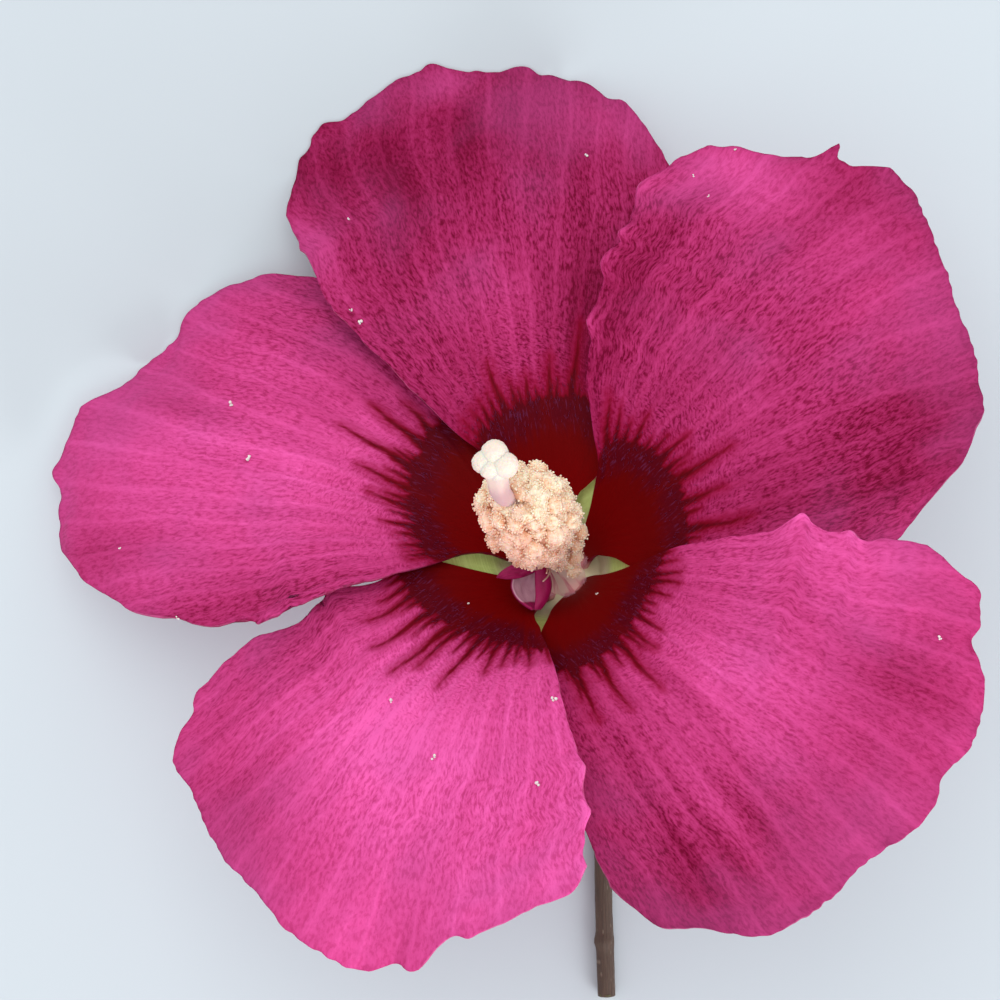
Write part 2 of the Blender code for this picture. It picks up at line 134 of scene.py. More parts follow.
class Petal(NamedTuple):
    """One petal. Place across runs from -1 at its right edge to 1 at its left."""

    toward: float
    slopes: tuple
    left: tuple  # length, half width as an angle about the bloom's axis
    right: tuple
    margin: tuple  # place across, length to the margin
    pleats: tuple  # place across, width, height, where it begins
    waves: tuple  # waves across the margin, height, phase
    # This value is partly the petal's own pink and partly painted shade, set lower on petals that lie in less
    # light.
    tone: float  # 0 deep crimson, 1 light pink
    # Each of these paints light or shade on the petal; the narrow dark ones lie along its folds.
    light_and_shade_patches: tuple  # place across, length, width across, length of patch, lighter or darker
    eye: tuple  # length of the dark eye at places across -1, -0.5, 0, 0.5 and 1
    flames: tuple  # place across and length of the tip of each dark flame
    curls: tuple = ()  # edge (-1 right, 1 left), length, width and height of each turned-up curl


PETALS = {
    "petal_top": Petal(
        toward=97,
        slopes=(62, 38, 12, -4, -22),
        left=(
            (0, 20), (6, 22), (12, 25), (15.7, 27.4), (17.4, 30), (19.2, 31.5), (21.6, 32.5),
            (25, 33.5), (29.6, 34.3), (34.8, 34.6), (39.7, 34.9), (41.7, 33.9), (44.7, 32.5),
            (50, 33), (60, 30),
        ),
        right=(
            (0, 20), (5, 24), (7.5, 27.2), (9.1, 30), (10.2, 34), (11.7, 37.9), (15, 40), (20, 40),
            (30, 39.5), (40, 38), (50, 31), (60, 27),
        ),
        margin=(
            (-1, 42), (-0.88, 46.5), (-0.78, 49.5), (-0.68, 53.4), (-0.6, 56), (-0.48, 57.6),
            (-0.38, 59.2), (-0.28, 60), (-0.2, 60.8), (-0.14, 62), (-0.09, 62.1), (-0.03, 61.1),
            (0.02, 61.3), (0.07, 62.6), (0.12, 63.6), (0.2, 63.8), (0.24, 64.5), (0.29, 63.9),
            (0.36, 64.7), (0.5, 64.8), (0.62, 64.3), (0.7, 63.7), (0.75, 61.6), (0.79, 59.4),
            (0.83, 58.4), (0.88, 55), (0.93, 51.8), (0.97, 47.6), (1, 46.4),
        ),
        pleats=((0.12, 0.07, -1.6, 0.7), (0.6, 0.15, -1.2, 0.45), (-0.35, 0.2, 0.8, 0.5)),
        waves=((5, 0.5, 1.0), (9, 0.35, 0.4)),
        tone=0.2,
        light_and_shade_patches=(
            (0.15, 31, 0.35, 8, 0.13), (-0.6, 27, 0.3, 11, -0.2), (0.45, 45, 0.22, 8, -0.13),
            (-0.55, 54, 0.3, 5, 0.14), (0.95, 46, 0.12, 8, 0.26), (0.12, 53, 0.1, 6, -0.12),
            (0.2, 61, 0.12, 3, 0.2), (0.8, 56, 0.2, 6, -0.1), (0.45, 52, 0.2, 5, -0.06),
        ),
        eye=(18.8, 20.6, 19.4, 18.2, 16.0),
        flames=(
            (-0.79, 22), (-0.68, 27), (-0.51, 22), (-0.44, 28.5), (-0.31, 22.5), (-0.24, 24.5),
            (-0.12, 21), (-0.04, 22.4), (0.05, 21), (0.13, 22), (0.29, 24.6), (0.4, 21.2),
            (0.53, 20.5), (0.65, 19.5),
        ),
    ),
    "petal_upper_right": Petal(
        toward=30,
        slopes=(64, 42, 21, 2, -16),
        left=(
            (0, 19), (6.5, 20), (8.1, 20.4), (10.1, 22.0), (11.8, 23.4), (13, 24.2), (14.5, 27.3),
            (15.9, 31.2), (17.9, 35.1), (19.9, 37.9), (21.9, 40.6), (23.5, 41.3), (25.1, 41.7),
            (26.3, 41.5), (27.3, 42.8), (28.3, 43.9), (29.2, 43.4), (30, 43), (31.7, 43),
            (33.2, 42.6), (34.1, 43.6), (35.3, 43.6), (36.3, 42.8), (37.3, 41.5), (38.1, 42.5),
            (39.2, 41.9), (41.6, 41.4), (44.3, 41.1), (45.5, 39.8), (47.1, 38.5), (50, 37), (60, 34),
        ),
        right=(
            (0, 15), (3.8, 17), (6, 25.7), (8.4, 32.7), (11.8, 41.8), (15, 44), (20, 45),
            (30, 44.5), (40, 42), (50, 36), (60, 33),
        ),
        margin=(
            (-1, 40.6), (-0.9, 44.3), (-0.84, 46), (-0.76, 48.6), (-0.68, 51.8), (-0.6, 53.4),
            (-0.52, 55), (-0.4, 56.1), (-0.26, 56.6), (-0.12, 57), (0.04, 57.5), (0.16, 58.5),
            (0.26, 60), (0.36, 61), (0.44, 60.4), (0.48, 58.6), (0.54, 57.2), (0.575, 57.4),
            (0.59, 58.2), (0.602, 58.3), (0.614, 57.2), (0.63, 56), (0.67, 55.1), (0.73, 54),
            (0.8, 53), (0.86, 52.6), (0.92, 51.6), (0.96, 50.8), (1, 48.5),
        ),
        pleats=((0.62, 0.14, 1.4, 0.5), (0.36, 0.12, -1.1, 0.55), (-0.4, 0.18, -1.2, 0.45)),
        waves=((6, 0.5, 0.2), (10, 0.3, 2.0)),
        tone=0.28,
        light_and_shade_patches=(
            (0.9, 30, 0.2, 12, -0.22), (0.8, 50, 0.25, 5, 0.42), (0.1, 50, 0.35, 7, 0.2),
            (-0.55, 44, 0.3, 14, -0.18), (0.4, 52, 0.1, 8, -0.03), (-0.95, 35, 0.12, 8, 0.25),
            (0.05, 33, 0.3, 6, 0.04), (-0.4, 34, 0.2, 6, 0.1),
        ),
        eye=(21.0, 21.0, 20.2, 18.6, 14.2),
        flames=(
            (-0.87, 26), (-0.71, 22.5), (-0.64, 29.5), (-0.5, 23), (-0.41, 26.5), (-0.28, 21.5),
            (-0.21, 28.6), (-0.09, 23.6), (0.02, 24.6), (0.13, 22.6), (0.24, 20.8), (0.37, 22.4),
            (0.51, 20.4), (0.64, 21), (0.77, 21.5),
        ),
        curls=((1, 28, 1.6, 1.5), (1, 34.8, 1.7, 1.7), (1, 38.4, 1.0, 1.0), (1, 44, 1.4, 0.8)),
    ),
    "petal_lower_right": Petal(
        toward=-40,
        slopes=(64, 42, 22, 4, -14),
        left=(
            (0, 24), (4, 22), (7.1, 20.3), (10.7, 21.8), (12.7, 23.7), (14.5, 25.5), (16.9, 28.2),
            (19.2, 30), (22.1, 31.4), (24.8, 31.8), (27.3, 32.4), (29.6, 33.1), (31.9, 33.9),
            (33.6, 35.2), (34.9, 36.6), (35.5, 37.2), (36.1, 36.7), (36.5, 35.5), (37.5, 34.3),
            (39.6, 33.6), (40.9, 33.5), (41.8, 32.4), (43.9, 32.6), (50, 32.5), (60, 30),
        ),
        right=(
            (0, 38), (5.5, 49.8), (8.9, 51), (11.2, 52.3), (15, 50), (20, 47), (25, 44), (30, 41),
            (40, 38), (50, 35), (60, 33),
        ),
        margin=(
            (-1, 46.5), (-0.95, 49.4), (-0.9, 51.6), (-0.84, 52.6), (-0.76, 53.6), (-0.7, 55),
            (-0.6, 57), (-0.48, 57.6), (-0.36, 57.8), (-0.22, 57.4), (-0.1, 58), (0, 59),
            (0.12, 59.1), (0.22, 58.1), (0.3, 58.6), (0.36, 59.1), (0.46, 58.9), (0.58, 58.1),
            (0.63, 57), (0.7, 55), (0.76, 55.4), (0.84, 54.9), (0.9, 54.2), (0.94, 51.6), (1, 48.6),
        ),
        pleats=((-0.15, 0.08, -1.0, 0.35), (-0.42, 0.08, -0.9, 0.4), (0.45, 0.16, -1.3, 0.55)),
        waves=((6, 0.4, 1.7), (11, 0.3, 0.6)),
        tone=0.5,
        light_and_shade_patches=(
            (0.1, 36, 0.25, 10, 0.2), (-0.85, 34, 0.25, 14, -0.2), (0.45, 50, 0.26, 6, -0.2),
            (-0.75, 51, 0.5, 9, -0.36), (0.85, 42, 0.25, 9, 0.2), (-0.18, 30, 0.05, 9, -0.16),
            (-0.25, 40, 0.024, 8, -0.15), (-0.53, 42, 0.026, 9, -0.14), (-0.36, 46, 0.024, 6, -0.12),
            (-0.66, 42, 0.026, 10, -0.1), (-0.45, 44, 0.04, 10, 0.1), (-0.14, 42, 0.04, 8, 0.08),
        ),
        eye=(19.4, 19.6, 18.2, 18.0, 19.0),
        flames=(
            (-0.74, 24.6), (-0.7, 28), (-0.55, 23), (-0.5, 28.5), (-0.36, 22.6), (-0.27, 28.6),
            (-0.16, 23), (-0.11, 24.2), (0.03, 23), (0.15, 20.8), (0.26, 20.2), (0.41, 21.6),
            (0.56, 22.4), (0.68, 22),
        ),
        curls=((1, 35.4, 1.6, 0.9), (1, 41, 1.2, 0.5)),
    ),
    "petal_lower_left": Petal(
        toward=-124,
        slopes=(64, 42, 22, 4, -14),
        left=(
            (0, 15), (5, 17), (7, 18.9), (9.5, 26), (11.7, 33.4), (12.2, 34.1), (15.3, 40),
            (18.4, 43.3), (21.2, 45.4), (25.1, 46.5), (28, 47.2), (30.7, 47.9), (33, 48.7),
            (34.6, 49.6), (35.3, 49.1), (36.1, 48.3), (37.3, 48), (38.7, 48.5), (39.7, 48.7),
            (40.4, 47.7), (41.2, 46.8), (42.5, 46.3), (43.6, 46), (44.8, 46.3), (50, 45), (60, 42),
        ),
        right=(
            (0, 32), (7.1, 40.4), (9.6, 43.4), (13, 47.4), (15.9, 49.6), (19, 47.6), (22.9, 41.6),
            (26.2, 41.1), (28.7, 41), (29.2, 39.5), (30.4, 38.2), (31.9, 35.6), (33.1, 34.9),
            (36.2, 35), (40.2, 34.1), (45, 33), (50, 32.5), (60, 31),
        ),
        margin=(
            (-1, 38), (-0.92, 45), (-0.82, 47.5), (-0.7, 51), (-0.56, 51.5), (-0.4, 52.5),
            (-0.24, 53.5), (-0.08, 53.9), (0.04, 54.5), (0.16, 55.5), (0.28, 56.3), (0.39, 56.4),
            (0.44, 55.2), (0.53, 54.6), (0.56, 52.4), (0.6, 50.9), (0.64, 51.1), (0.76, 49.1),
            (0.82, 48.4), (0.9, 47.6), (0.96, 46.6), (1, 45),
        ),
        pleats=((0.5, 0.07, -1.5, 0.65), (0.15, 0.2, 0.8, 0.5), (-0.55, 0.2, -0.9, 0.5)),
        waves=((5, 0.5, 2.4), (10, 0.35, 1.1)),
        tone=0.69,
        light_and_shade_patches=(
            (0.15, 33, 0.4, 9, 0.2), (-0.85, 34, 0.25, 16, -0.3), (-0.35, 43, 0.3, 5, -0.12),
            (-0.5, 51, 0.35, 6, -0.2), (0.85, 47, 0.2, 6, 0.1), (-0.2, 50, 0.3, 5, -0.12),
        ),
        eye=(21.0, 18.4, 15.9, 15.4, 16.8),
        flames=(
            (-0.92, 22.2), (-0.81, 23.6), (-0.69, 25.6), (-0.62, 21.5), (-0.46, 26.6),
            (-0.37, 21.8), (-0.21, 27), (-0.13, 24.4), (0.0, 20), (0.12, 25), (0.24, 19.2),
            (0.36, 21), (0.5, 19.4), (0.62, 18.4), (0.76, 19),
        ),
        curls=((1, 34.6, 1.2, 0.9), (1, 39.5, 1.3, 1.1), (1, 45, 1.5, 0.8)),
    ),
    "petal_left": Petal(
        toward=166,
        slopes=(62, 39, 13, -4, -24),
        left=(
            (0, 10), (6, 9), (7.9, 9.2), (9.5, 12.4), (11.4, 16.7), (13.2, 21.6), (15.1, 25.2),
            (16.9, 27.4), (18.7, 28.6), (21.1, 30.8), (23.1, 31.3), (26.7, 32.1), (30.2, 32.8),
            (31.3, 32.9), (32.9, 34.5), (33.9, 34.9), (36, 35.2), (40, 35), (50, 33), (60, 31),
        ),
        right=(
            (0, 24), (5, 30), (10, 36), (15, 41), (20, 43), (30, 42), (35, 41), (40, 39), (45, 36),
            (50, 34), (60, 32),
        ),
        margin=(
            (-1, 45), (-0.92, 49.2), (-0.84, 51), (-0.76, 52.6), (-0.68, 54), (-0.56, 54.6),
            (-0.46, 56), (-0.36, 57.4), (-0.28, 57.1), (-0.22, 57.5), (-0.12, 60.5), (0, 61.2),
            (0.08, 62), (0.13, 62.9), (0.2, 61.4), (0.32, 61), (0.44, 60), (0.5, 58),
            (0.6, 55.4), (0.7, 51), (0.76, 49), (0.8, 46.4), (0.82, 44.4), (0.88, 41.6),
            (0.915, 38.6), (0.925, 37), (0.955, 35.4), (0.99, 34.6), (1, 33.5),
        ),
        pleats=((-0.38, 0.1, -1.3, 0.5), (-0.2, 0.12, 0.8, 0.5), (0.62, 0.12, -0.9, 0.5)),
        waves=((6, 0.45, 0.9), (9, 0.3, 2.2)),
        tone=0.56,
        light_and_shade_patches=(
            (0.1, 34, 0.3, 12, 0.12), (-0.95, 35, 0.24, 15, -0.36), (-0.4, 26, 0.16, 5, 0.14),
            (-0.6, 50, 0.35, 6, -0.04), (-0.2, 48, 0.04, 7, -0.14), (-0.1, 42, 0.04, 9, 0.08),
            (0.05, 50, 0.25, 8, 0.14), (0.9, 36, 0.22, 16, -0.32), (0.45, 54, 0.2, 6, -0.12),
        ),
        eye=(23.0, 21.0, 18.6, 16.6, 14.6),
        flames=(
            (-0.84, 23), (-0.74, 26), (-0.64, 23), (-0.59, 29), (-0.44, 23.5), (-0.38, 30),
            (-0.28, 23), (-0.2, 26), (-0.09, 22), (-0.04, 23.6), (0.09, 20.6), (0.23, 21.4),
            (0.39, 19.6), (0.57, 18.6), (0.74, 18),
        ),
        curls=((1, 33.8, 1.5, 1.2),),
    ),
}

# White crumbs of pollen: petal, place across, length, size
CRUMBS = (
    ("petal_top", -0.4, 48.5, 0.3), ("petal_top", 0.73, 47, 0.26), ("petal_top", 0.94, 34.5, 0.4),
    ("petal_top", 0.93, 36.5, 0.24), ("petal_upper_right", 0.86, 52, 0.24),
    ("petal_upper_right", 0.9, 47, 0.22), ("petal_upper_right", 0.78, 46, 0.2),
    ("petal_lower_left", -0.06, 29.5, 0.36), ("petal_lower_left", 0.31, 33, 0.42),
    ("petal_lower_left", 0.79, 35, 0.36), ("petal_lower_left", 0.95, 25, 0.4),
    ("petal_left", -0.04, 37.2, 0.38), ("petal_left", -0.27, 42.4, 0.36),
    ("petal_left", 0.47, 50.6, 0.22), ("petal_left", 0.83, 44.5, 0.24),
    ("petal_lower_right", 0.02, 8.5, 0.22), ("petal_lower_left", -0.4, 13, 0.22),
    ("petal_lower_right", 0.66, 52, 0.3),
)


# Shapes
def ease(x):
    """Rises smoothly from 0 at x = 0 to 1 at x = 1."""
    x = np.clip(x, 0, 1)
    return x * x * (3 - 2 * x)


def through(x, start, step, values):
    """A smooth curve through values that are given at even steps."""
    values = np.asarray(values, float)
    last = len(values) - 1
    place = np.clip((np.asarray(x, float) - start) / step, 0, last)
    i = np.clip(np.floor(place).astype(int), 0, last - 1)
    t = place - i
    before, here = values[np.maximum(i - 1, 0)], values[i]
    there, beyond = values[i + 1], values[np.minimum(i + 2, last)]
    bend = 2 * before - 5 * here + 4 * there - beyond + t * (3 * (here - there) + beyond - before)
    return here + 0.5 * t * (there - before + t * bend)


def curve(x, marks):
    """A smooth curve through pairs of place and value at uneven places."""
    places, values = (np.array(column, float) for column in zip(*marks))
    slopes = np.gradient(values, places)
    x = np.clip(x, places[0], places[-1])
    i = np.clip(np.searchsorted(places, x) - 1, 0, len(places) - 2)
    gap = places[i + 1] - places[i]
    t = (x - places[i]) / gap
    rise = values[i + 1] - values[i]
    bend = (slopes[i] + slopes[i + 1]) * gap - 2 * rise
    return values[i] + t * (slopes[i] * gap + t * (rise - slopes[i] * gap - bend + t * bend))


def radius_at(height, profile):
    """The radius at a height of a profile, which is given as pairs of radius and height."""
    radii, heights = zip(*profile)
    return np.interp(height, heights, radii)


def climb(length, foot, slope_at, slopes):
    """Radius, height and slope at a length along a sheet that climbs outwards from its foot."""
    steps = np.linspace(0, 75, 601)  # past the longest petal
    slope = np.radians(np.interp(steps, slope_at, slopes))
    between = (slope[1:] + slope[:-1]) / 2
    radius, height = (
        start + np.concatenate([[0], np.cumsum(way(between) * steps[1])])
        for start, way in zip(foot, (np.cos, np.sin))
    )
    return tuple(np.interp(length, steps, values) for values in (radius, height, slope))


def together(*columns):
    """Vectors from their parts, of which some may be the same all over."""
    return np.stack(np.broadcast_arrays(*columns), -1)


def turns(count):
    """Even angles all round, in degrees."""
    return np.arange(count) * 360 / count


def polar(radius, angle, height):
    """Points from a radius, an angle in degrees and a height."""
    turn = np.radians(angle)
    return together(radius * np.cos(turn), radius * np.sin(turn), height)


def tipped(degrees):
    """The turn that tips +Z by some degrees towards the side the bloom leans to."""
    side = Matrix.Rotation(math.radians(LEAN_TOWARD), 3, "Z")
    return np.array(side @ Matrix.Rotation(math.radians(degrees), 3, "Y") @ side.transposed())


def leaned(points):
    """Points of the bloom's own frame, as it lies."""
    return points @ tipped(LEAN).T + SPRING_AT


def from_view(points):
    """Places or moves given to the right, up and towards the camera, in the bloom's own frame."""
    return np.asarray(points) @ tipped(VIEW)


def laid(points, clear):
    """Points kept at least a clear height above the surface, which they meet gently."""
    above = points[..., 2] - clear
    eased = np.where(above < -SETTLE, 0, (above + SETTLE) ** 2 / (4 * SETTLE))
    settled = points.copy()
    settled[..., 2] = clear + np.where(above > SETTLE, above, eased)
    return settled


def rough(points, size, seed=0):
    """Smooth random values from -1 to 1 over points, with bumps about a size apart."""
    points = np.asarray(points, float) / size
    base = np.floor(points).astype(np.int64)
    near = points - base
    near = near * near * (3 - 2 * near)
    total = 0.0
    for corner in range(2 ** points.shape[-1]):
        code = np.full(points.shape[:-1], seed * 7919 + 17, np.int64)
        weight = np.ones(points.shape[:-1])
        for axis in range(points.shape[-1]):
            bit = corner >> axis & 1
            code = (code * 31337 + (base[..., axis] + bit) * 73856093) & 0xFFFFFFF
            weight = weight * (near[..., axis] if bit else 1 - near[..., axis])
        code = (code ^ code >> 13) * 1274126177 & 0xFFFFFFF
        code = (code ^ code >> 11) * 668265263 & 0xFFFFFFF
        total = total + weight * (code / 0x7FFFFFF - 1)
    return total


def waver(points, layers, seed):
    """Smooth random values in layers, each with its height, the size of its bumps and own seed."""
    return sum(tall * rough(points, size, seed + own) for tall, size, own in layers)


def unit(vectors):
    """Vectors of length 1."""
    return vectors / np.maximum(np.linalg.norm(vectors, axis=-1, keepdims=True), 1e-12)


def sheet_normals(middle):
    """Unit normals of a grid of points, rows first."""
    return unit(np.cross(np.gradient(middle, axis=1), np.gradient(middle, axis=0)))


def new_piece(name, points, faces, finishes, stands_for=(), marks=None, face_finish=None):
    """A piece of the bloom from points in millimetres. marks are numbers or vectors by point."""
    mesh = bpy.data.meshes.new(name)
    mesh.from_pydata((np.asarray(points) * MM).tolist(), [], faces)
    for finish in finishes:
        mesh.materials.append(finish)
    if face_finish is not None:
        mesh.polygons.foreach_set("material_index", np.asarray(face_finish, np.int32))
    for mark, values in (marks or {}).items():
        values = np.asarray(values, np.float32)
        if values.ndim == 1:
            mesh.attributes.new(mark, "FLOAT", "POINT").data.foreach_set("value", values)
        else:
            kept = mesh.attributes.new(mark, "FLOAT_VECTOR", "POINT")
            kept.data.foreach_set("vector", values.reshape(-1))
    mesh.shade_smooth()
    piece = bpy.data.objects.new(name, mesh)
    bpy.context.scene.collection.objects.link(piece)
    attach(piece, "root")
    if stands_for:
        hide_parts(*stands_for)
    return piece


def grid_faces(rows, columns, start=0, flip=False):
    """Quads of a grid of points that is numbered row by row."""
    i, j = np.meshgrid(np.arange(rows - 1), np.arange(columns - 1), indexing="ij")
    a = start + i * columns + j
    quads = np.stack([a, a + 1, a + columns + 1, a + columns], -1).reshape(-1, 4)
    return quads[:, ::-1] if flip else quads


def sheet_solid(middle, normal, thick):
    """Points and faces of a closed thin sheet. Its first half of points is the upper face."""
    rows, columns = middle.shape[:2]
    points = np.concatenate([
        (middle + normal * thick[..., None] / 2).reshape(-1, 3),
        (middle - normal * thick[..., None] / 2).reshape(-1, 3),
    ])
    under = rows * columns
    edge = list(range(columns))
    edge += [i * columns + columns - 1 for i in range(1, rows)]
    edge += [(rows - 1) * columns + j for j in range(columns - 2, -1, -1)]
    edge += [i * columns for i in range(rows - 2, 0, -1)]
    rim = [(b, a, under + a, under + b) for a, b in zip(edge, edge[1:] + edge[:1])]
    upper = grid_faces(rows, columns)
    lower = grid_faces(rows, columns, under, flip=True)
    faces = upper.tolist() + lower.tolist() + rim
    kinds = [0] * len(upper) + [1] * (len(lower) + len(rim))
    return points, faces, kinds


def ringed_solid(rings, looped):
    """Points and faces of a solid from rings, joined in a loop or closed by a fan at each end."""
    rings = np.asarray(rings)
    count, around = rings.shape[:2]
    faces = []
    for i in range(count if looped else count - 1):
        low, high = i * around, (i + 1) % count * around
        for j in range(around):
            k = (j + 1) % around
            faces.append((low + j, low + k, high + k, high + j))
    points = rings.reshape(-1, 3)
    if not looped:
        points = np.concatenate([points, rings[0].mean(0)[None], rings[-1].mean(0)[None]])
        bottom, top, last = count * around, count * around + 1, (count - 1) * around
        for j in range(around):
            k = (j + 1) % around
            faces += [(bottom, k, j), (top, last + j, last + k)]
    return points, faces


def ball_mesh(detail):
    """Points and faces of a ball of radius 1."""
    shape = bmesh.new()
    bmesh.ops.create_icosphere(shape, subdivisions=detail, radius=1)
    points = np.array([v.co for v in shape.verts])
    faces = np.array([[v.index for v in face.verts] for face in shape.faces])
    shape.free()
    return points, faces


def frames_along(route):
    """Two directions across a route at each of its points."""
    ahead = unit(np.gradient(route, axis=0))
    side = unit(np.cross(ahead, SKEW))
    return side, np.cross(ahead, side)


def thread(route, radii, sides):
    """Rings of a round thread along a route, with a radius for each ring or each of its points."""
    side, other = frames_along(route)
    turn = np.radians(turns(sides))
    out = np.cos(turn)[:, None] * side[:, None] + np.sin(turn)[:, None] * other[:, None]
    return route[:, None] + out * radii[..., None]


def gathered(parts):
    """One set of points and faces from several."""
    points, faces, start = [], [], 0
    for some, its_faces in parts:
        points.append(some)
        faces += [tuple(int(k) + start for k in face) for face in its_faces]
        start += len(some)
    return np.concatenate(points), faces


def hairs(name, roots, ways, lengths, radius, finish, slot):
    """Fine hairs, each a thin three-sided spike."""
    side = unit(np.cross(ways, SKEW))
    other = np.cross(ways, side)
    feet = [
        roots + radius * (math.cos(t) * side + math.sin(t) * other)
        for t in (0.0, 2 * math.pi / 3, 4 * math.pi / 3)
    ]
    points = np.stack([*feet, roots + ways * lengths[:, None]], 1).reshape(-1, 3)
    faces = []
    for a in range(0, len(points), 4):
        faces += [(a, a + 1, a + 3), (a + 1, a + 2, a + 3), (a + 2, a, a + 3), (a + 2, a + 1, a)]
    return new_piece(name, points, faces, [finish])


# Finishes
class Value:
    """A shader socket that takes part in Python's arithmetic."""

    def __init__(self, look, socket):
        self.look, self.socket = look, socket

    def __add__(self, other):
        return self.look.math("ADD", self, other)

    def __sub__(self, other):
        return self.look.math("SUBTRACT", self, other)

    def __rsub__(self, other):
        return self.look.math("SUBTRACT", other, self)

    def __mul__(self, other):
        return self.look.math("MULTIPLY", self, other)

    def __truediv__(self, other):
        return self.look.math("DIVIDE", self, other)

    __radd__, __rmul__ = __add__, __mul__


class Look:
    """One material, built up from nodes."""

    def __init__(self, name, **constants):
        self.material = bpy.data.materials.new(name)
        self.material.use_nodes = True
        self.tree = self.material.node_tree
        self.surface = self.tree.nodes["Principled BSDF"]
        for socket, value in constants.items():
            self.surface.inputs[socket.replace("_", " ")].default_value = value

    def feed(self, socket, value):
        if isinstance(value, Value):
            self.tree.links.new(value.socket, socket)
        else:
            socket.default_value = value

    def node(self, kind, settings, values, out=0):
        """A node with its settings made first, then its sockets fed. Gives one output."""
        made = self.tree.nodes.new(kind)
        for name, setting in settings.items():
            if name == "stops":
                stops = made.color_ramp.elements
                stops.remove(stops[1])
                stops[0].position, stops[0].color = setting[0][0], (*setting[0][1], 1)
                for place, colour in setting[1:]:
                    stops.new(place).color = (*colour, 1)
            else:
                setattr(made, name, setting)
        for socket, value in values.items():
            self.feed(made.inputs[socket], value)
        return Value(self, made.outputs[out])

    def math(self, operation, *values):
        return self.node("ShaderNodeMath", {"operation": operation}, dict(enumerate(values)))

    def step(self, value, low, high, least=0.0, most=1.0):
        """Goes smoothly from least to most as a value goes from low to high."""
        settings = {"interpolation_type": "SMOOTHSTEP"}
        return self.node("ShaderNodeMapRange", settings, dict(enumerate((value, low, high, least, most))))

    def mix(self, share, first, second):
        """Colours mixed by a share of the second."""
        settings = {"data_type": "RGBA"}
        first, second = (c if isinstance(c, Value) else (*c, 1) for c in (first, second))
        return self.node("ShaderNodeMix", settings, {0: share, 6: first, 7: second}, 2)

    def mark(self, name, out="Fac"):
        return self.node("ShaderNodeAttribute", {"attribute_name": name}, {}, out)

    def parts(self, vector):
        kind = "ShaderNodeSeparateXYZ"
        return tuple(self.node(kind, {}, {0: vector}, axis) for axis in range(3))

    def vector(self, x, y, z):
        return self.node("ShaderNodeCombineXYZ", {}, {0: x, 1: y, 2: z})

    def place(self):
        """The place on the object, in millimetres."""
        own = self.node("ShaderNodeTexCoord", {}, {}, "Object")
        return self.node("ShaderNodeVectorMath", {"operation": "SCALE"}, {0: own, 3: 1 / MM})

    def noise(self, vector, scale=1.0, detail=2.0, roughness=0.5):
        values = {"Vector": vector, "Scale": scale, "Detail": detail, "Roughness": roughness}
        return self.node("ShaderNodeTexNoise", {}, values)

    def cells(self, vector):
        """Distance in a pattern of random cells."""
        return self.node("ShaderNodeTexVoronoi", {}, {"Vector": vector, "Scale": 1.0}, "Distance")

    def bump(self, *layers):
        """A normal from heights, each given with its depth in millimetres."""
        normal = None
        for height, depth in layers:
            values = {"Height": height, "Distance": depth * MM, "Strength": 1.0}
            if normal is not None:
                values["Normal"] = normal
            normal = self.node("ShaderNodeBump", {}, values)
        return normal

    def finish(self, **sockets):
        for socket, value in sockets.items():
            self.feed(self.surface.inputs[socket.replace("_", " ")], value)
        return self.material


PETAL_PINKS = (  # from the deepest to the palest
    (0.0, (0.16, 0.001, 0.025)), (0.2, (0.28, 0.009, 0.066)), (0.4, (0.42, 0.025, 0.13)),
    (0.62, (0.57, 0.047, 0.21)), (0.82, (0.72, 0.076, 0.305)), (1.0, (0.88, 0.115, 0.42)),
)
# Mauve of a painted sheen on the petals
SHEEN_MAUVE = (0.44, 0.075, 0.27)
HALO_RED, FLAME_RED = (0.27, 0.001, 0.028), (0.19, 0.0006, 0.011)
EMBER, BLOOD = (0.2, 0.0003, 0.0006), (0.127, 0.0003, 0.0008)
NIGHT = (0.092, 0.0005, 0.006)
CLAW_PINK, HAIR_MAUVE = (0.9, 0.46, 0.5), (0.2, 0.05, 0.17)


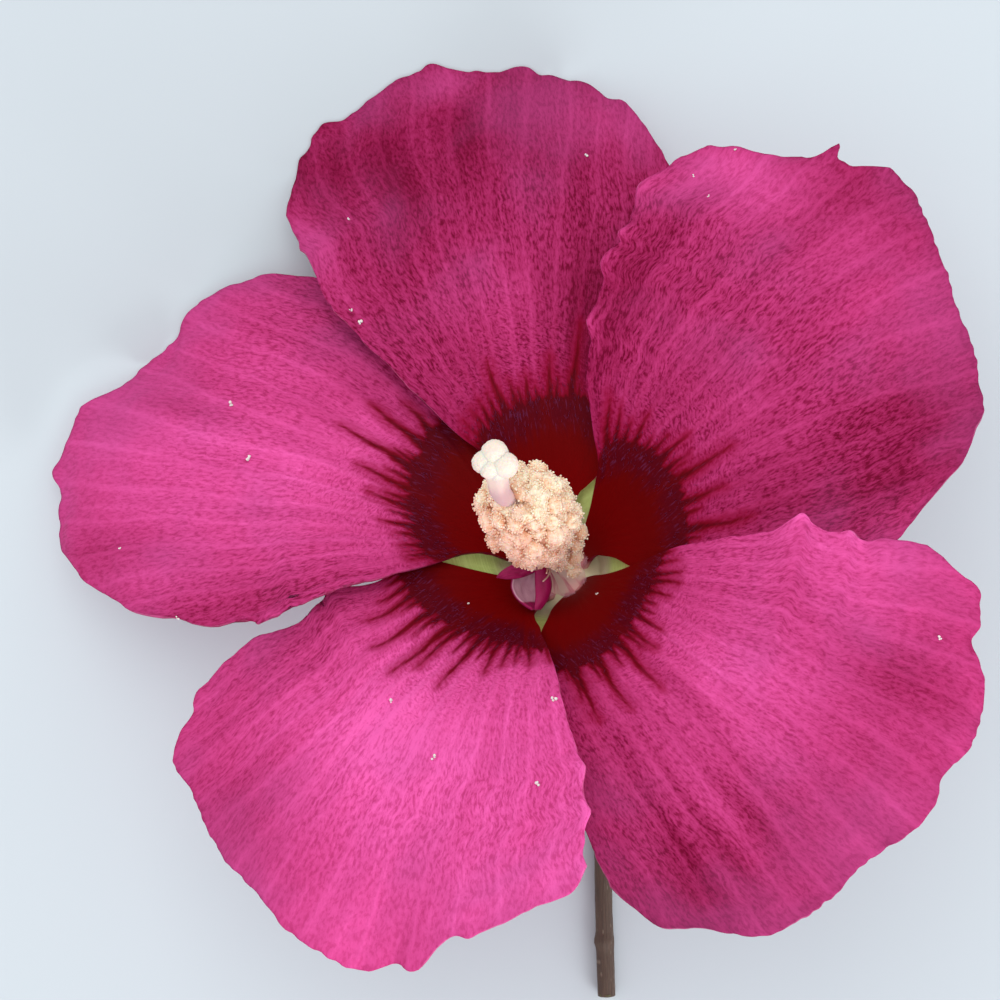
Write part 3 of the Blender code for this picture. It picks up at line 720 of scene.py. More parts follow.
def petal_look(name, under):
    """Crepe petal: pale veins that fan out, short dents between them, and the dark flamed eye."""
    look = Look(name, Specular_IOR_Level=0.05)
    x, y, u = look.parts(look.mark("sheet", "Vector"))
    half, eye, plain = look.mark("half"), look.mark("eye"), look.mark("plain_eye")
    lines, tone = look.mark("lines"), look.mark("tone")

    def vein(count, sway, width):
        """Soft lines along the middle of each of count strips of a half petal."""
        drift = look.noise(look.vector(u * 2.2, y * 0.04, count), 1.0, 1.0) * sway
        apart = look.math("PINGPONG", u * count + drift, 0.5) * half / count
        return look.step(apart, width, 0.0)

    main = vein(6.5, 1.6, 0.6)
    side = vein(14.0, 1.8, 0.3) * look.step(y, 14, 26)
    spread = look.step(half, 15, 27)

    # Crepe: short dents, across the petal near the eye and along the veins further out, with painted shade in
    # the dents and painted light on their crests
    stir = look.noise(look.vector(x * 0.5, y * 0.5, 7.0), 1.0, 2.0) - 0.5
    aside, along = x + stir * 1.2, y + stir * 1.6
    outwards = look.step(y + look.math("ABSOLUTE", u) * 12.0 + stir * 14.0, 24, 37)
    short = look.vector(aside * 1.9 + along * 0.7, along * 3.0 - aside * 1.1, 0.0)
    narrow, wide = (
        look.noise(look.vector(u * count - y * 0.4 + stir * 0.7, y * 1.15 + stir, 9.0), 1.0, 3.0, 0.62)
        for count in (62.0, 92.0)
    )
    long = narrow * (1 - spread) + wide * spread
    folds = look.noise(short, 1.0, 2.5, 0.6) * (1 - outwards) + long * outwards
    # Painted shade and light: the colour is darker in the dents and lighter on the crests.
    dents = look.step(folds, 0.55, 0.36)
    crests = look.step(folds, 0.54, 0.7)
    strong = (1 - look.step(y, 38, 54, 0.0, 0.5)) * (1.0 - tone * 0.35)
    smooth = look.step(eye, 0.6, -1.2)
    mottle = look.noise(look.vector(x * 0.2, y * 0.14, 3.0), 1.0, 3.0, 0.6)
    band = look.noise(look.vector(u * 7.0, y * 0.05, 5.0), 1.0, 2.0)
    streak = look.noise(look.vector(u * 34.0, y * 0.3, 34.0), 1.0, 2.5, 0.6)

    shade = (
        tone + (mottle - 0.5) * 0.17 + (band - 0.5) * 0.26 + main * (0.15 - outwards * 0.04) + side * 0.05
        + (streak - 0.5) * 0.16 + (1 - main * 0.4) * strong * (crests * 0.14 - dents * 0.36 + 0.12)
    )
    pink = look.node("ShaderNodeValToRGB", {"stops": PETAL_PINKS}, {0: shade})
    # Painted sheen: in cloudy spots beyond the eye the pink is mixed towards mauve, standing in for a bluish
    # sheen.
    painted_sheen = look.noise(look.vector(x * 0.07, y * 0.06, 8.0), 1.0, 2.0)
    pink = look.mix(look.step(painted_sheen, 0.42, 0.66, 0.0, 0.26) * look.step(y, 27, 38), pink, SHEEN_MAUVE)

    # The eye: a red halo with flames, and a darker heart with fine streaks and mauve flecks
    ragged = look.noise(look.vector(x * 3.2, y * 0.6, 1.0), 1.0, 2.0, 0.6)
    into = eye + (ragged - 0.5) * 0.8
    silk = look.noise(look.vector(x * 2.0, y * 0.08, 4.0), 1.0, 2.0)
    deep = look.step(plain + (silk - 0.5) * 3.0, 5.2, 1.9) * look.step(band, 0.3, 0.56, 0.45, 1.0)
    blood = look.mix(look.step(y, 6, 17), EMBER, BLOOD)
    blood = look.mix(deep * (silk * 0.5 + 0.75), blood, NIGHT)
    fleck = look.step(look.noise(look.vector(x * 5.5, y * 0.7, 2.0), 1.0, 2.0), 0.56, 0.7)
    blood = look.mix(fleck * deep * 0.3, blood, HAIR_MAUVE)
    halo = look.step(into + (mottle - 0.5) * 2.0, -1.6, 0.1, 0.0, 0.62)
    halo = halo + main * look.step(into, -7, -1, 0.0, 0.2)
    flame, heart = FLAME_RED, look.math("MAXIMUM", look.step(into, 0.02, 0.38), lines * 0.75)
    if under:
        pink = look.mix(0.3, pink, (0.62, 0.16, 0.32))
        flame, blood = (0.33, 0.02, 0.07), look.mix(0.5, blood, (0.4, 0.02, 0.09))
    colour = look.mix(halo, pink, HALO_RED)
    colour = look.mix(look.step(into, -0.4, 0.16), colour, flame)
    colour = look.mix(heart, colour, blood)
    colour = look.mix(look.step(y + (silk - 0.5) * 1.2, 2.0, 0.7, 0.0, 0.9), colour, CLAW_PINK)
    grain = look.noise(look.place(), 6.0, 2.0)
    normal = look.bump(
        (main, 0.12 if under else 0.05),
        (folds * smooth, 0.1),
        (streak * smooth, 0.1),
        (grain, 0.01),
    )
    return look.finish(Base_Color=colour, Roughness=0.52 + mottle * 0.16, Normal=normal)


def green_look(name, light, dark, pale):
    """Fleshy green with fine ribs, paler towards its foot."""
    look = Look(name, Sheen_Weight=0.06, Sheen_Roughness=0.5, Specular_IOR_Level=0.25)
    x, y, rib = look.parts(look.mark("sheet", "Vector"))
    cloud = look.noise(look.place(), 0.5, 3.0)
    line = look.noise(look.vector(x * 1.6, y * 0.3, 0.0), 1.0, 2.0)
    down = look.noise(look.place(), 6.0, 2.0)
    colour = look.mix(look.step(cloud * 0.5 + line * 0.6, 0.35, 0.72), dark, light)
    colour = look.mix(look.step(y + cloud * 2.0, 7.0, 3.0, 0.0, 0.75), colour, pale)
    colour = look.mix(look.step(rib, 0.25, 1.0, 0.0, 0.4), colour, light)
    normal = look.bump((line, 0.07), (down, 0.04))
    return look.finish(Base_Color=colour, Roughness=0.5 + cloud * 0.2, Normal=normal)


def bark_look():
    """Young bark: dark brown with grey flecks, and green up the stalk that bears the bloom."""
    look = Look("young_bark", Sheen_Weight=0.05)
    turn, y, green = look.parts(look.mark("sheet", "Vector"))
    furrow = look.noise(look.vector(turn * 5.0, y * 0.35, 0.0), 1.0, 3.0, 0.6)
    cork = look.step(look.cells(look.vector(turn * 2.6, y * 0.55, 4.0)), 0.24, 0.05)
    grain = look.noise(look.place(), 4.0, 3.0)
    brown = look.mix(furrow, (0.03, 0.014, 0.01), (0.12, 0.065, 0.04))
    brown = look.mix(cork * 0.6, brown, (0.3, 0.22, 0.16))
    stalk = look.mix(furrow, (0.09, 0.15, 0.03), (0.2, 0.28, 0.08))
    colour = look.mix(green, brown, stalk)
    normal = look.bump((furrow, 0.14), (cork, 0.1), (grain, 0.05))
    return look.finish(Base_Color=colour, Roughness=0.55 + grain * 0.25, Normal=normal)


def cut_look(centre):
    """Pale wood round the middle of the cut, with a lighter pith and a green rind."""
    look = Look("cut_wood")
    ends = {0: look.place(), 1: tuple(centre)}
    apart = look.node("ShaderNodeVectorMath", {"operation": "DISTANCE"}, ends, "Value")
    grain = look.noise(look.place(), 4.0, 3.0)
    wood = look.mix(grain, (0.5, 0.4, 0.22), (0.72, 0.64, 0.42))
    wood = look.mix(look.step(apart, 0.42, 0.3), wood, (0.85, 0.8, 0.66))
    wood = look.mix(look.step(apart, 0.8, 0.95), wood, (0.13, 0.16, 0.05))
    return look.finish(Base_Color=wood, Roughness=0.6 + grain * 0.2, Normal=look.bump((grain, 0.08)))


def pollen_look():
    """Grainy anthers, with painted light and shade: cream on top and where they stand out, pinkish, then tan
    low down and in the hollows, and a faint painted glow.
    """
    # Emission paints a faint glow in the anthers' own colour, though they give no light.
    look = Look("grainy_pollen", Subsurface_Weight=0.25, Subsurface_Scale=0.0012,
                Specular_IOR_Level=0.2, Emission_Strength=0.05)
    high, warm = look.mark("high"), look.mark("warm")
    spot = look.noise(look.place(), 0.4, 2.0)
    fine = look.noise(look.place(), 3.0, 2.0)
    rosy_shade = look.step(warm + (spot - 0.5) * 1.2 + (fine - 0.5) * 0.3, 0.1, 0.95)
    cream = look.mix(rosy_shade, (1.0, 0.86, 0.66), (0.98, 0.68, 0.55))
    cream = look.mix(look.step(warm + (spot - 0.5) * 0.8, 0.8, 1.5), cream, (0.76, 0.42, 0.3))
    # Painted shade: tan where the anthers sink in and on their inward side.
    colour = look.mix(look.step(high + (fine - 0.5) * 0.5, 0.3, -0.3), cream, (0.84, 0.46, 0.28))
    grain = look.noise(look.place(), 7.0, 3.0, 0.7)
    return look.finish(
        Base_Color=colour, Emission_Color=colour, Roughness=0.7 + grain * 0.2,
        Normal=look.bump((grain, 0.06)),
    )


def stigma_look():
    """Velvety ivory lobes on a stalk that turns pinkish grey lower down, which is painted shade."""
    look = Look("velvet_ivory", Subsurface_Weight=0.3, Subsurface_Scale=0.0012,
                Specular_IOR_Level=0.2)
    rise = look.mark("rise")
    down = look.noise(look.place(), 7.0, 3.0, 0.7)
    cloud = look.noise(look.place(), 0.8, 2.0)
    # Painted shade: the lower the place, the more pinkish grey it is.
    high = look.step(rise + (cloud - 0.5) * 0.2, 0.3, 0.85)
    colour = look.mix(high, (0.66, 0.46, 0.46), (0.88, 0.73, 0.63))
    return look.finish(Base_Color=colour, Roughness=0.6 + down * 0.2, Normal=look.bump((down, 0.05)))


def column_look():
    """Waxy beige pink with darker pink streaks, and a faint painted glow."""
    # Emission paints a faint glow in the column's own colour, though it gives no light.
    look = Look("waxy_column", Subsurface_Weight=0.1, Subsurface_Scale=0.001,
                Specular_IOR_Level=0.3, Emission_Strength=0.06)
    turn, y, _ = look.parts(look.mark("sheet", "Vector"))
    streak = look.noise(look.vector(turn * 1.6, y * 0.14, 0.0), 1.0, 3.0)
    down = look.noise(look.place(), 5.0, 3.0)
    colour = look.mix(look.step(streak, 0.46, 0.64), (1.0, 0.8, 0.7), (0.68, 0.16, 0.27))
    colour = look.mix(look.step(y, 5.0, 0.5, 0.0, 0.4), colour, (0.95, 0.66, 0.6))
    normal = look.bump((streak, 0.15), (down, 0.08))
    return look.finish(
        Base_Color=colour, Emission_Color=colour, Roughness=0.4 + down * 0.2, Normal=normal
    )


def petaloid_look():
    """Pale mauve pink inside, deep magenta on the rolled side, the flap and the outside."""
    look = Look("petaloid_magenta", Sheen_Weight=0.05, Sheen_Roughness=0.4, Specular_IOR_Level=0.25)
    x, y, rim = look.parts(look.mark("sheet", "Vector"))
    fold = look.noise(look.vector(x * 1.6, y * 0.6, 0.0), 1.0, 3.0)
    # Painted shade: both the magenta and the pale pink are darker in the low parts of the folds.
    magenta = look.mix(fold, (0.17, 0.0008, 0.03), (0.5, 0.004, 0.13))
    pale = look.mix(fold, (0.45, 0.14, 0.24), (0.82, 0.5, 0.58))
    colour = look.mix(look.step(rim + (fold - 0.5) * 0.5, 0.3, 0.7), pale, magenta)
    return look.finish(Base_Color=colour, Roughness=0.4 + fold * 0.15, Normal=look.bump((fold, 0.2)))


def cloudy_look(name, scale, dark, light, roughness, depth, **constants):
    """Soft clouds of two colours, which are also a relief of some depth."""
    look = Look(name, **constants)
    cloud = look.noise(look.place(), scale)
    sockets = {"Base_Color": look.mix(cloud, dark, light), "Roughness": roughness + cloud * 0.2}
    if depth:
        sockets["Normal"] = look.bump((cloud, depth))
    return look.finish(**sockets)


def hair_look(name, colour):
    """Fine hair in a colour and a lighter shade of it."""
    light = tuple(min(1.0, 1.35 * c) for c in colour)
    return cloudy_look(name, 1.5, colour, light, 0.45, 0, Specular_IOR_Level=0.1)


# Petals
class Sheet(NamedTuple):
    """A petal as it lies: grids of the points of its upper face, of normals and of lengths."""

    upper: np.ndarray
    normal: np.ndarray
    length: np.ndarray


def eye_depth(petal, across, length, wide, rim, seed):
    """Millimetres inside the dark eye with its flames and fringe, inside its plain edge, and lines."""
    edge = curve(across, list(zip(EYE_PLACES, petal.eye))) + 0.5 * rough(rim, 1.3, seed + 7)
    seeded = np.random.default_rng(seed)
    places = np.linspace(-0.97, 0.97, FRINGE) + seeded.uniform(-0.035, 0.035, FRINGE)
    tips = np.interp(places, EYE_PLACES, petal.eye) + seeded.triangular(*FRINGE_REACH, FRINGE)
    flames = [(*flame, FLAME_FOOT) for flame in petal.flames]
    flames += [(place, tip, FRINGE_FOOT) for place, tip in zip(places, tips)]
    inside, lines = edge - length, np.zeros_like(length)
    for place, tip, foot in flames:
        is_long = foot == FLAME_FOOT
        left = np.clip((tip - length) / (tip - edge + 1.0), 0, 1.6)
        sway = 0.08 * np.sin(length * 0.9 + tip * 5) * is_long
        apart = np.abs((across - place) * wide + sway)
        past = np.maximum(length - tip, 0)
        inside = np.maximum(inside, foot * left**1.5 - apart - 0.06 - past)
        if is_long:
            lines = np.maximum(lines, np.clip(1.2 - apart / 0.15, 0, 1) * ease(left * 2.2))
    return inside, edge - length, lines


def petal_folds(petal, across, along, length, wide, outer, seed):
    """Height of a petal's pleats, waves, pads, creases, frill and curls, and how far it curls up."""
    rise = np.zeros_like(length)
    for place, width, tall, begins in petal.pleats:
        grows = ease((along - begins) / (1.15 - begins))
        rise += tall * grows * np.exp(-(((across - place) / width) ** 2))
    for count, tall, phase in petal.waves:
        rise += tall * ease((along - 0.5) / 0.5) * np.sin(count * across + phase)
    flat = together(across * wide, length)
    grown = ease((length - 16) / 16)
    puff = np.sin((across * PUFFS + 0.45 * rough(flat * (0.02, 0.04), 1.0, seed + 9)) * np.pi) ** 2
    rise += PUFF_HEIGHT * grown * puff * ease(outer / 8)
    rise += 0.34 * grown * rough(flat * (1.0, 0.55), 5.0, seed + 1)
    rise += 0.12 * grown * rough(flat * (0.9, 1.2), 1.6, seed + 2)
    rise += grown * np.exp(-outer / FRILL_DEPTH) * waver(flat, FRILL, seed)
    lifted = np.zeros_like(length)
    for where, at, width, tall in petal.curls:
        flap = np.exp(-(((length - at) / width) ** 2)) * ease(1 - (1 - across * where) * wide / 1.8)
        rise += tall * flap
        lifted = np.maximum(lifted, flap)
    return rise, lifted


def petal_sheet(petal, seed):
    """The sheet of one petal with its folds and frill, and its marks for the finish."""
    across, along = np.meshgrid(
        np.linspace(1, -1, PETAL_COLUMNS + 1), np.linspace(0, 1, PETAL_ROWS + 1)
    )
    rim = together(across * 30, seed)
    margin = curve(across, petal.margin) + waver(rim, MARGIN_WAVER, seed)
    length = along * margin
    half = np.where(across > 0, curve(length, petal.left), curve(length, petal.right))
    side = together(length, np.sign(across) * 9.0)
    half = half + ease((length - 12) / 15) * waver(side, SIDE_WAVER, seed)
    radius, height, slope = climb(length, (CLAW_RADIUS, 0), SLOPE_AT, petal.slopes)
    height = height + TWIST * across * ease((length - TWIST_FROM) / TWIST_OVER)
    wide = np.radians(half) * radius  # half width in millimetres
    outer = np.minimum(margin - length, (1 - np.abs(across)) * wide + 1.0)
    rise, lifted = petal_folds(petal, across, along, length, wide, outer, seed)
    radius = radius - rise * np.sin(slope)
    height = height + rise * np.cos(slope)
    foot = ease(1 - length / 1.2)
    middle = leaned(polar(radius - 0.4 * foot, petal.toward + across * half, height - 1.1 * foot))

    # Painted light and shade: turned-up curls are lighter and a thin strip along the margin is darker.
    tone = petal.tone + 0.3 * lifted - 0.09 * np.exp(-np.maximum(outer, 0) / 0.6)
    # Painted light and shade in patches over the petal.
    for place, at, width, stretch, gain in petal.light_and_shade_patches:
        tone += gain * np.exp(-(((across - place) / width) ** 2) - ((length - at) / stretch) ** 2)
    eye, plain_eye, lines = eye_depth(petal, across, length, wide, rim, seed)
    marks = {
        "sheet": together(across * wide, length, across),
        "half": wide, "eye": eye, "plain_eye": plain_eye, "lines": lines, "tone": tone,
    }
    return middle, length, marks


def make_petals():
    """Five petals, each a thin closed sheet with its upper and under finish."""
    finishes = [petal_look("crepe_petal", False), petal_look("crepe_petal_back", True)]
    sheets = {}
    for seed, (name, petal) in enumerate(PETALS.items()):
        middle, length, marks = petal_sheet(petal, 20 * seed + 1)
        thick = np.interp(length, *zip(*PETAL_THICK))
        middle = laid(middle, thick.max(initial=0.0, where=length > 30) / 2 + 0.02)
        normal = sheet_normals(middle)
        points, faces, kinds = sheet_solid(middle, normal, thick)
        both = {
            mark: np.concatenate([values.reshape(thick.size, -1).squeeze()] * 2)
            for mark, values in marks.items()
        }
        new_piece("crepe_" + name, points, faces, finishes, [name], both, kinds)
        sheets[name] = Sheet(middle + normal * thick[..., None] / 2, normal, length)
    return sheets


def on_petal(sheet, across, length):
    """A petal's upper face at a place across and a length: its point, normal, row and column."""
    column = int(round((1 - across) / 2 * PETAL_COLUMNS))
    row = int(np.argmin(np.abs(sheet.length[:, column] - length)))
    return sheet.upper[row, column], sheet.normal[row, column], row, column


def make_crumbs(sheets):
    """Crumbs of pollen that have dropped on the petals."""
    seeded = np.random.default_rng(31)
    points, faces = ball_mesh(2)
    parts = []
    for name, across, length, size in CRUMBS:
        at, normal, _, _ = on_petal(sheets[name], across, length)
        for k in range(3):
            shift = seeded.normal(0, size * 0.35, 3)
            lump = points * size * seeded.uniform(0.3, 0.5) * (1 + 0.3 * rough(points + k, 0.7, k))[:, None]
            parts.append((lump + at + shift * (1, 1, 0.3) + normal * size * 0.4, faces))
    points, faces = gathered(parts)
    white = cloudy_look("pollen_crumb", 3.0, (0.7, 0.55, 0.55), (0.92, 0.85, 0.8), 0.6, 0.08,
                        Subsurface_Weight=0.2, Subsurface_Scale=0.0008)
    new_piece("pollen_crumbs", points, faces, [white])


def make_petal_hairs(sheets):
    """Short mauve hairs round the edge of the eye, and pale down on the petals' feet."""
    seeded = np.random.default_rng(11)
    dark, pale = [], []
    for name, sheet in sheets.items():
        for _ in range(EYE_HAIRS):
            across = seeded.uniform(-0.95, 0.95)
            edge = np.interp(across, EYE_PLACES, PETALS[name].eye)
            at, normal, row, column = on_petal(sheet, across, edge - seeded.triangular(-2.5, 0.4, 4.5))
            ahead = unit(sheet.upper[row + 1, column] - at)
            way = unit(normal * 0.55 + ahead + seeded.normal(0, 0.25, 3))
            dark.append((at, way, seeded.uniform(0.35, 0.8)))
        for _ in range(CLAW_HAIRS):
            across = seeded.choice((-1, 1)) * seeded.uniform(0.3, 0.98)
            at, normal, row, column = on_petal(sheet, across, seeded.triangular(0.3, 0.8, 2.4))
            left = sheet.upper[row, max(column - 1, 0)]
            right = sheet.upper[row, min(column + 1, PETAL_COLUMNS)]
            out = unit(np.sign(across) * (left - right))
            pale.append((at, unit(out + normal * 0.6 + seeded.normal(0, 0.35, 3)), seeded.uniform(0.3, 0.7)))
    for title, some, colour in (
        ("eye_hairs", dark, (0.15, 0.03, 0.12)),
        ("claw_down", pale, (0.85, 0.42, 0.5)),
    ):
        finish = hair_look(title + "_finish", colour)
        hairs(title, *map(np.array, zip(*some)), PETAL_HAIR_RADIUS, finish, "petal")


# Calyx, epicalyx and stem
def sepal_climb(length, angles):
    """Radius, height and slope of the calyx, which stands steeper on one side."""
    slope_at = np.arange(len(OPEN_SEPAL_SLOPES)) * SEPAL_SLOPE_STEP
    low, high = (
        climb(length, SEPAL_FOOT, slope_at, slopes) for slopes in (OPEN_SEPAL_SLOPES, STEEP_SEPAL_SLOPES)
    )
    steep = (1 + np.cos(np.radians(angles - STEEP_TOWARD))) / 2
    return tuple(a + (b - a) * steep for a, b in zip(low, high))


def bract_climb(length, _):
    """Radius, height and slope of the epicalyx, the same all round."""
    slope_at = np.arange(len(BRACT_SLOPES)) * BRACT_SLOPE_STEP
    return climb(length, BRACT_FOOT, slope_at, BRACT_SLOPES)


def lobed_sheet(angles, reach, rib, rows, rising):
    """Rings of a ribbed sheet up its underside and back down its top, and marks on the way up."""
    under, top, marks = [], [], []
    for v in np.linspace(0, 1, rows):
        length = v * reach
        radius, height, slope = rising(length, angles)
        thick = GREEN_THICK * (1 - 0.55 * v) / 2
        ridge = 0.16 * rib * ease(length / 3) * (1 - 0.6 * v)
        warp = 0.16 * v * rough(together(angles / 14, v * 3), 1.0, 5)
        for rings, gap in ((under, -thick - ridge + warp), (top, thick - 0.5 * ridge + warp)):
            rings.append(leaned(polar(radius - np.sin(slope) * gap, angles, height + np.cos(slope) * gap)))
        marks.append(together(np.radians(angles) * radius, length, rib))
    return under, top[::-1], marks


def make_calyx():
    """Green cup with five pointed ribbed lobes. Gives the rings of its top, foot first."""
    steps = np.arange(-SEPAL_STEPS, SEPAL_STEPS) / SEPAL_STEPS
    angles, reach, rib = [], [], []
    for i, (toward, length) in enumerate(SEPALS):
        before = (SEPALS[i - 1][0] - toward) % 360 - 360
        after = (SEPALS[(i + 1) % len(SEPALS)][0] - toward) % 360
        for a in steps:
            angles.append(toward + a * (after if a > 0 else -before) / 2)
            reach.append(SEPAL_NOTCH + (length - SEPAL_NOTCH) * (1 - abs(a)) ** 0.72)
            rib.append(max(math.exp(-((a / 0.05) ** 2)), 0.7 * math.exp(-(((abs(a) - 0.3) / 0.05) ** 2))))
    angles, reach, rib = np.array(angles), np.array(reach), np.array(rib)
    under, top, marks = lobed_sheet(angles, reach, rib, SEPAL_ROWS, sepal_climb)
    below = [
        leaned(polar(radius + 0.12 * rib, angles, height))
        for radius, height in reversed(CALYX_UNDERSIDE)
    ]
    seat = leaned(polar(SEPAL_FOOT[0] - 0.6, angles, RECEPTACLE_TOP))
    points, faces = ringed_solid([*below, *under, *top[:-1], seat], False)
    low = [together(np.radians(angles) * 4, 6.0, rib)] * len(below)
    sheet = np.concatenate([*low, *marks, *marks[::-1][:-1], np.zeros((len(angles) + 2, 3))])
    # The inner green is painted far lighter than the sepals' own colour, as painted light that makes up for
    # the shade in the cup.
    green = green_look("sepal_green", (0.7, 0.92, 0.3), (0.5, 0.7, 0.17), (0.9, 0.86, 0.68))
    outer = green_look("sepal_back_green", (0.3, 0.46, 0.11), (0.17, 0.31, 0.05), (0.4, 0.5, 0.2))
    first_inner = len(angles) * (len(below) + len(under))
    kinds = np.arange(len(faces)) < first_inner
    new_piece("ribbed_calyx", points, faces, [green, outer], ["calyx"], {"sheet": sheet}, kinds)
    return top[::-1]


def make_epicalyx():
    """Ring of narrow bracts on a collar round the stalk."""
    steps = np.concatenate([(-1 / BRACT_SHARE, -1.6), np.linspace(-1, 1, 21), (1.6,)])
    sector = 360 / BRACTS
    angles = np.concatenate([i * sector + steps * BRACT_SHARE * sector / 2 for i in range(BRACTS)])
    narrow = np.clip(1 - np.abs(steps), 0, 1) ** 0.6
    reach = np.tile(COLLAR_LENGTH + (BRACT_LENGTH - COLLAR_LENGTH) * narrow, BRACTS)
    rib = np.tile(np.exp(-((steps / 0.18) ** 2)), BRACTS)
    under, top, marks = lobed_sheet(angles, reach, rib, BRACT_ROWS, bract_climb)
    points, faces = ringed_solid(under + top, True)
    sheet = np.concatenate([*marks, *marks[::-1]])
    green = green_look("bract_green", (0.17, 0.3, 0.06), (0.07, 0.15, 0.02), (0.2, 0.28, 0.1))
    new_piece("narrow_bracts", points, faces, [green], ["epicalyx"], {"sheet": sheet})


def stem_route():
    """Points down the stem as it lies, and its radius at each."""
    axis = leaned(np.array((0.0, 0.0, 1.0))) - leaned(np.zeros(3))
    top = leaned(np.array((0.0, 0.0, STEM_TOP)))
    floor = STEM_RADIUS
    bend = top - axis * 1.2
    marks = np.array([
        top,
        top - axis * 0.6,
        bend,
        bend + (0.9, -1.5, (floor - bend[2]) * 0.62),
        (bend[0] + 2.0, bend[1] - 4.4, floor + 0.1),
        (bend[0] + 2.9, bend[1] - 9.0, floor),
        (bend[0] + 3.3, bend[1] - 17.0, floor),
        (bend[0] + 3.4, bend[1] - 27.0, floor),
        (bend[0] + 3.6, bend[1] - 37.0, floor),
        (bend[0] + 4.0, bend[1] - 48.0, floor),
    ])
    place = np.linspace(0, len(marks) - 1, STEM_RINGS)
    route = together(*(through(place, 0, 1, column) for column in marks.T))
    return route, through(place, 0, 1, STEM_RADII), axis


def make_stem():
    """Stalk and young shoot, with bark in low relief, and the pale cut end."""
    route, radii, axis = stem_route()
    route = np.concatenate([route[:1] + axis * 0.45, route])
    radii = np.concatenate([radii[:1] * 1.08, radii])
    run = np.concatenate([[0], np.cumsum(np.linalg.norm(np.diff(route, axis=0), axis=1))])
    turn = np.radians(turns(STEM_SIDES))
    round_it = together(3 * np.cos(turn), 3 * np.sin(turn), run[:, None] * 0.16)
    relief = 0.05 * rough(round_it, 0.8, 3) + 0.03 * rough(round_it * (1, 1, 4), 0.5, 4)
    for at in LEAF_SCARS:
        relief += 0.16 * np.exp(-(((run - at) / 0.7) ** 2))[:, None] * (1 + 0.6 * np.cos(turn - at))
    rings = thread(route, radii[:, None] - 0.06 + relief, STEM_SIDES)
    rings[..., 2] = np.maximum(rings[..., 2], 0.01)
    points, faces = ringed_solid(rings[:, ::-1], False)
    green = ease(1 - (run - 7) / 9)
    arc = together(np.cos(turn[::-1]) * 1.1, run[:, None], green[:, None])
    sheet = np.concatenate([arc.reshape(-1, 3), arc[0].mean(0)[None], arc[-1].mean(0)[None]])
    new_piece("barked_stem", points, faces, [bark_look()], ["stem"], {"sheet": sheet})

    ahead = unit(route[-1] - route[-2])
    middle = rings[-1].mean(0)
    rims = [middle + (rings[-1] - middle) * share + ahead * push for share, push in CUT_FACE]
    points, faces = ringed_solid(np.array(rims)[:, ::-1], False)
    new_piece("cut_end", points, faces, [cut_look(route[-1])])


def make_sepal_down(top):
    """Short down on the upper side of the sepals."""
    seeded = np.random.default_rng(23)
    some = []
    rows, around = len(top), len(top[0])
    for _ in range(SEPAL_HAIRS):
        row, column = seeded.integers(3, rows - 1), seeded.integers(around)
        along = unit(top[row + 1][column] - top[row - 1][column])
        across = unit(top[row][(column + 1) % around] - top[row][column - 1])
        up = np.cross(across, along)
        way = unit(up * 0.7 + along * 0.6 + seeded.normal(0, 0.3, 3))
        some.append((top[row][column], way, seeded.uniform(0.15, 0.4)))
    finish = hair_look("sepal_down_finish", (0.5, 0.56, 0.36))
    hairs("sepal_down", *map(np.array, zip(*some)), SEPAL_HAIR_RADIUS, finish, "sepals")


# Column, anthers, pistil and petaloid
def make_column():
    """Pale tube that carries the anthers, flared at its foot."""
    angles = turns(COLUMN_SIDES)
    heights = np.concatenate([np.linspace(-0.7, 12, 50), np.linspace(13, 27.5, 12)])
    rings, marks = [], []
    for radius, height in zip(radius_at(heights, COLUMN_OUTSIDE), heights):
        round_it = polar(2.0, angles, height * 0.2)
        ribs = 1 + 0.05 * np.cos(np.radians(angles * 5)) + 0.03 * rough(round_it, 0.7, 8)
        rings.append(leaned(polar(radius * ribs, angles, height)))
        marks.append(together(np.cos(np.radians(angles)) * 2, height, 0.0))
    points, faces = ringed_solid(rings, False)
    sheet = np.concatenate([*marks, np.zeros((2, 3))])
    new_piece("waxy_column", points, faces, [column_look()], ["staminal_column"], {"sheet": sheet})


def anther_places():
    """Centres, outward directions and sizes of the anthers on the head, then on its crown."""
    seeded = np.random.default_rng(7)
    low, high = HEAD_SHELL[0][1], HEAD_SHELL[-1][1]
    golden = 180 * (3 - math.sqrt(5))
    made = []
    for i in range(ANTHERS):
        t = (i + 0.5) / ANTHERS
        height = low + 0.4 + (high - low - 0.8) * t + seeded.uniform(-0.5, 0.5)
        radius = max(radius_at(height, HEAD_SHELL) + seeded.uniform(-0.45, 0.75), 2.4)
        outward = polar(1.0, i * golden + seeded.uniform(-12, 12), 0.0)
        lift = (height - 18.0) / 12.0
        centre = outward * radius + (0, 0, height)
        made.append((centre, unit(outward + (0, 0, lift)), seeded.uniform(0.8, 1.12)))
    for i in range(CROWN_ANTHERS):
        outward = polar(1.0, i * golden + 20, 0.0)
        centre = outward * seeded.uniform(1.3, 2.8) + (0, 0, seeded.uniform(27.3, 28.5))
        made.append((centre, unit(outward * 0.5 + (0, 0, 1.0)), seeded.uniform(0.75, 0.95)))
    made = [(centre + from_view(HEAD_ASIDE), outward, size) for centre, outward, size in made]
    for centre in from_view(LOW_ANTHERS):
        made.append((centre, unit(centre * (1, 1, 0)), 0.85))
    return made


def lower_side_shade(centre, chance):
    """Painted shade: from 0, cream on the crown, to 1, pinkish tan on the lower side in the camera's view."""
    right, up, _ = tipped(VIEW) @ (centre - (0, 0, 20))
    return 0.5 - 0.07 * right - 0.11 * up + chance


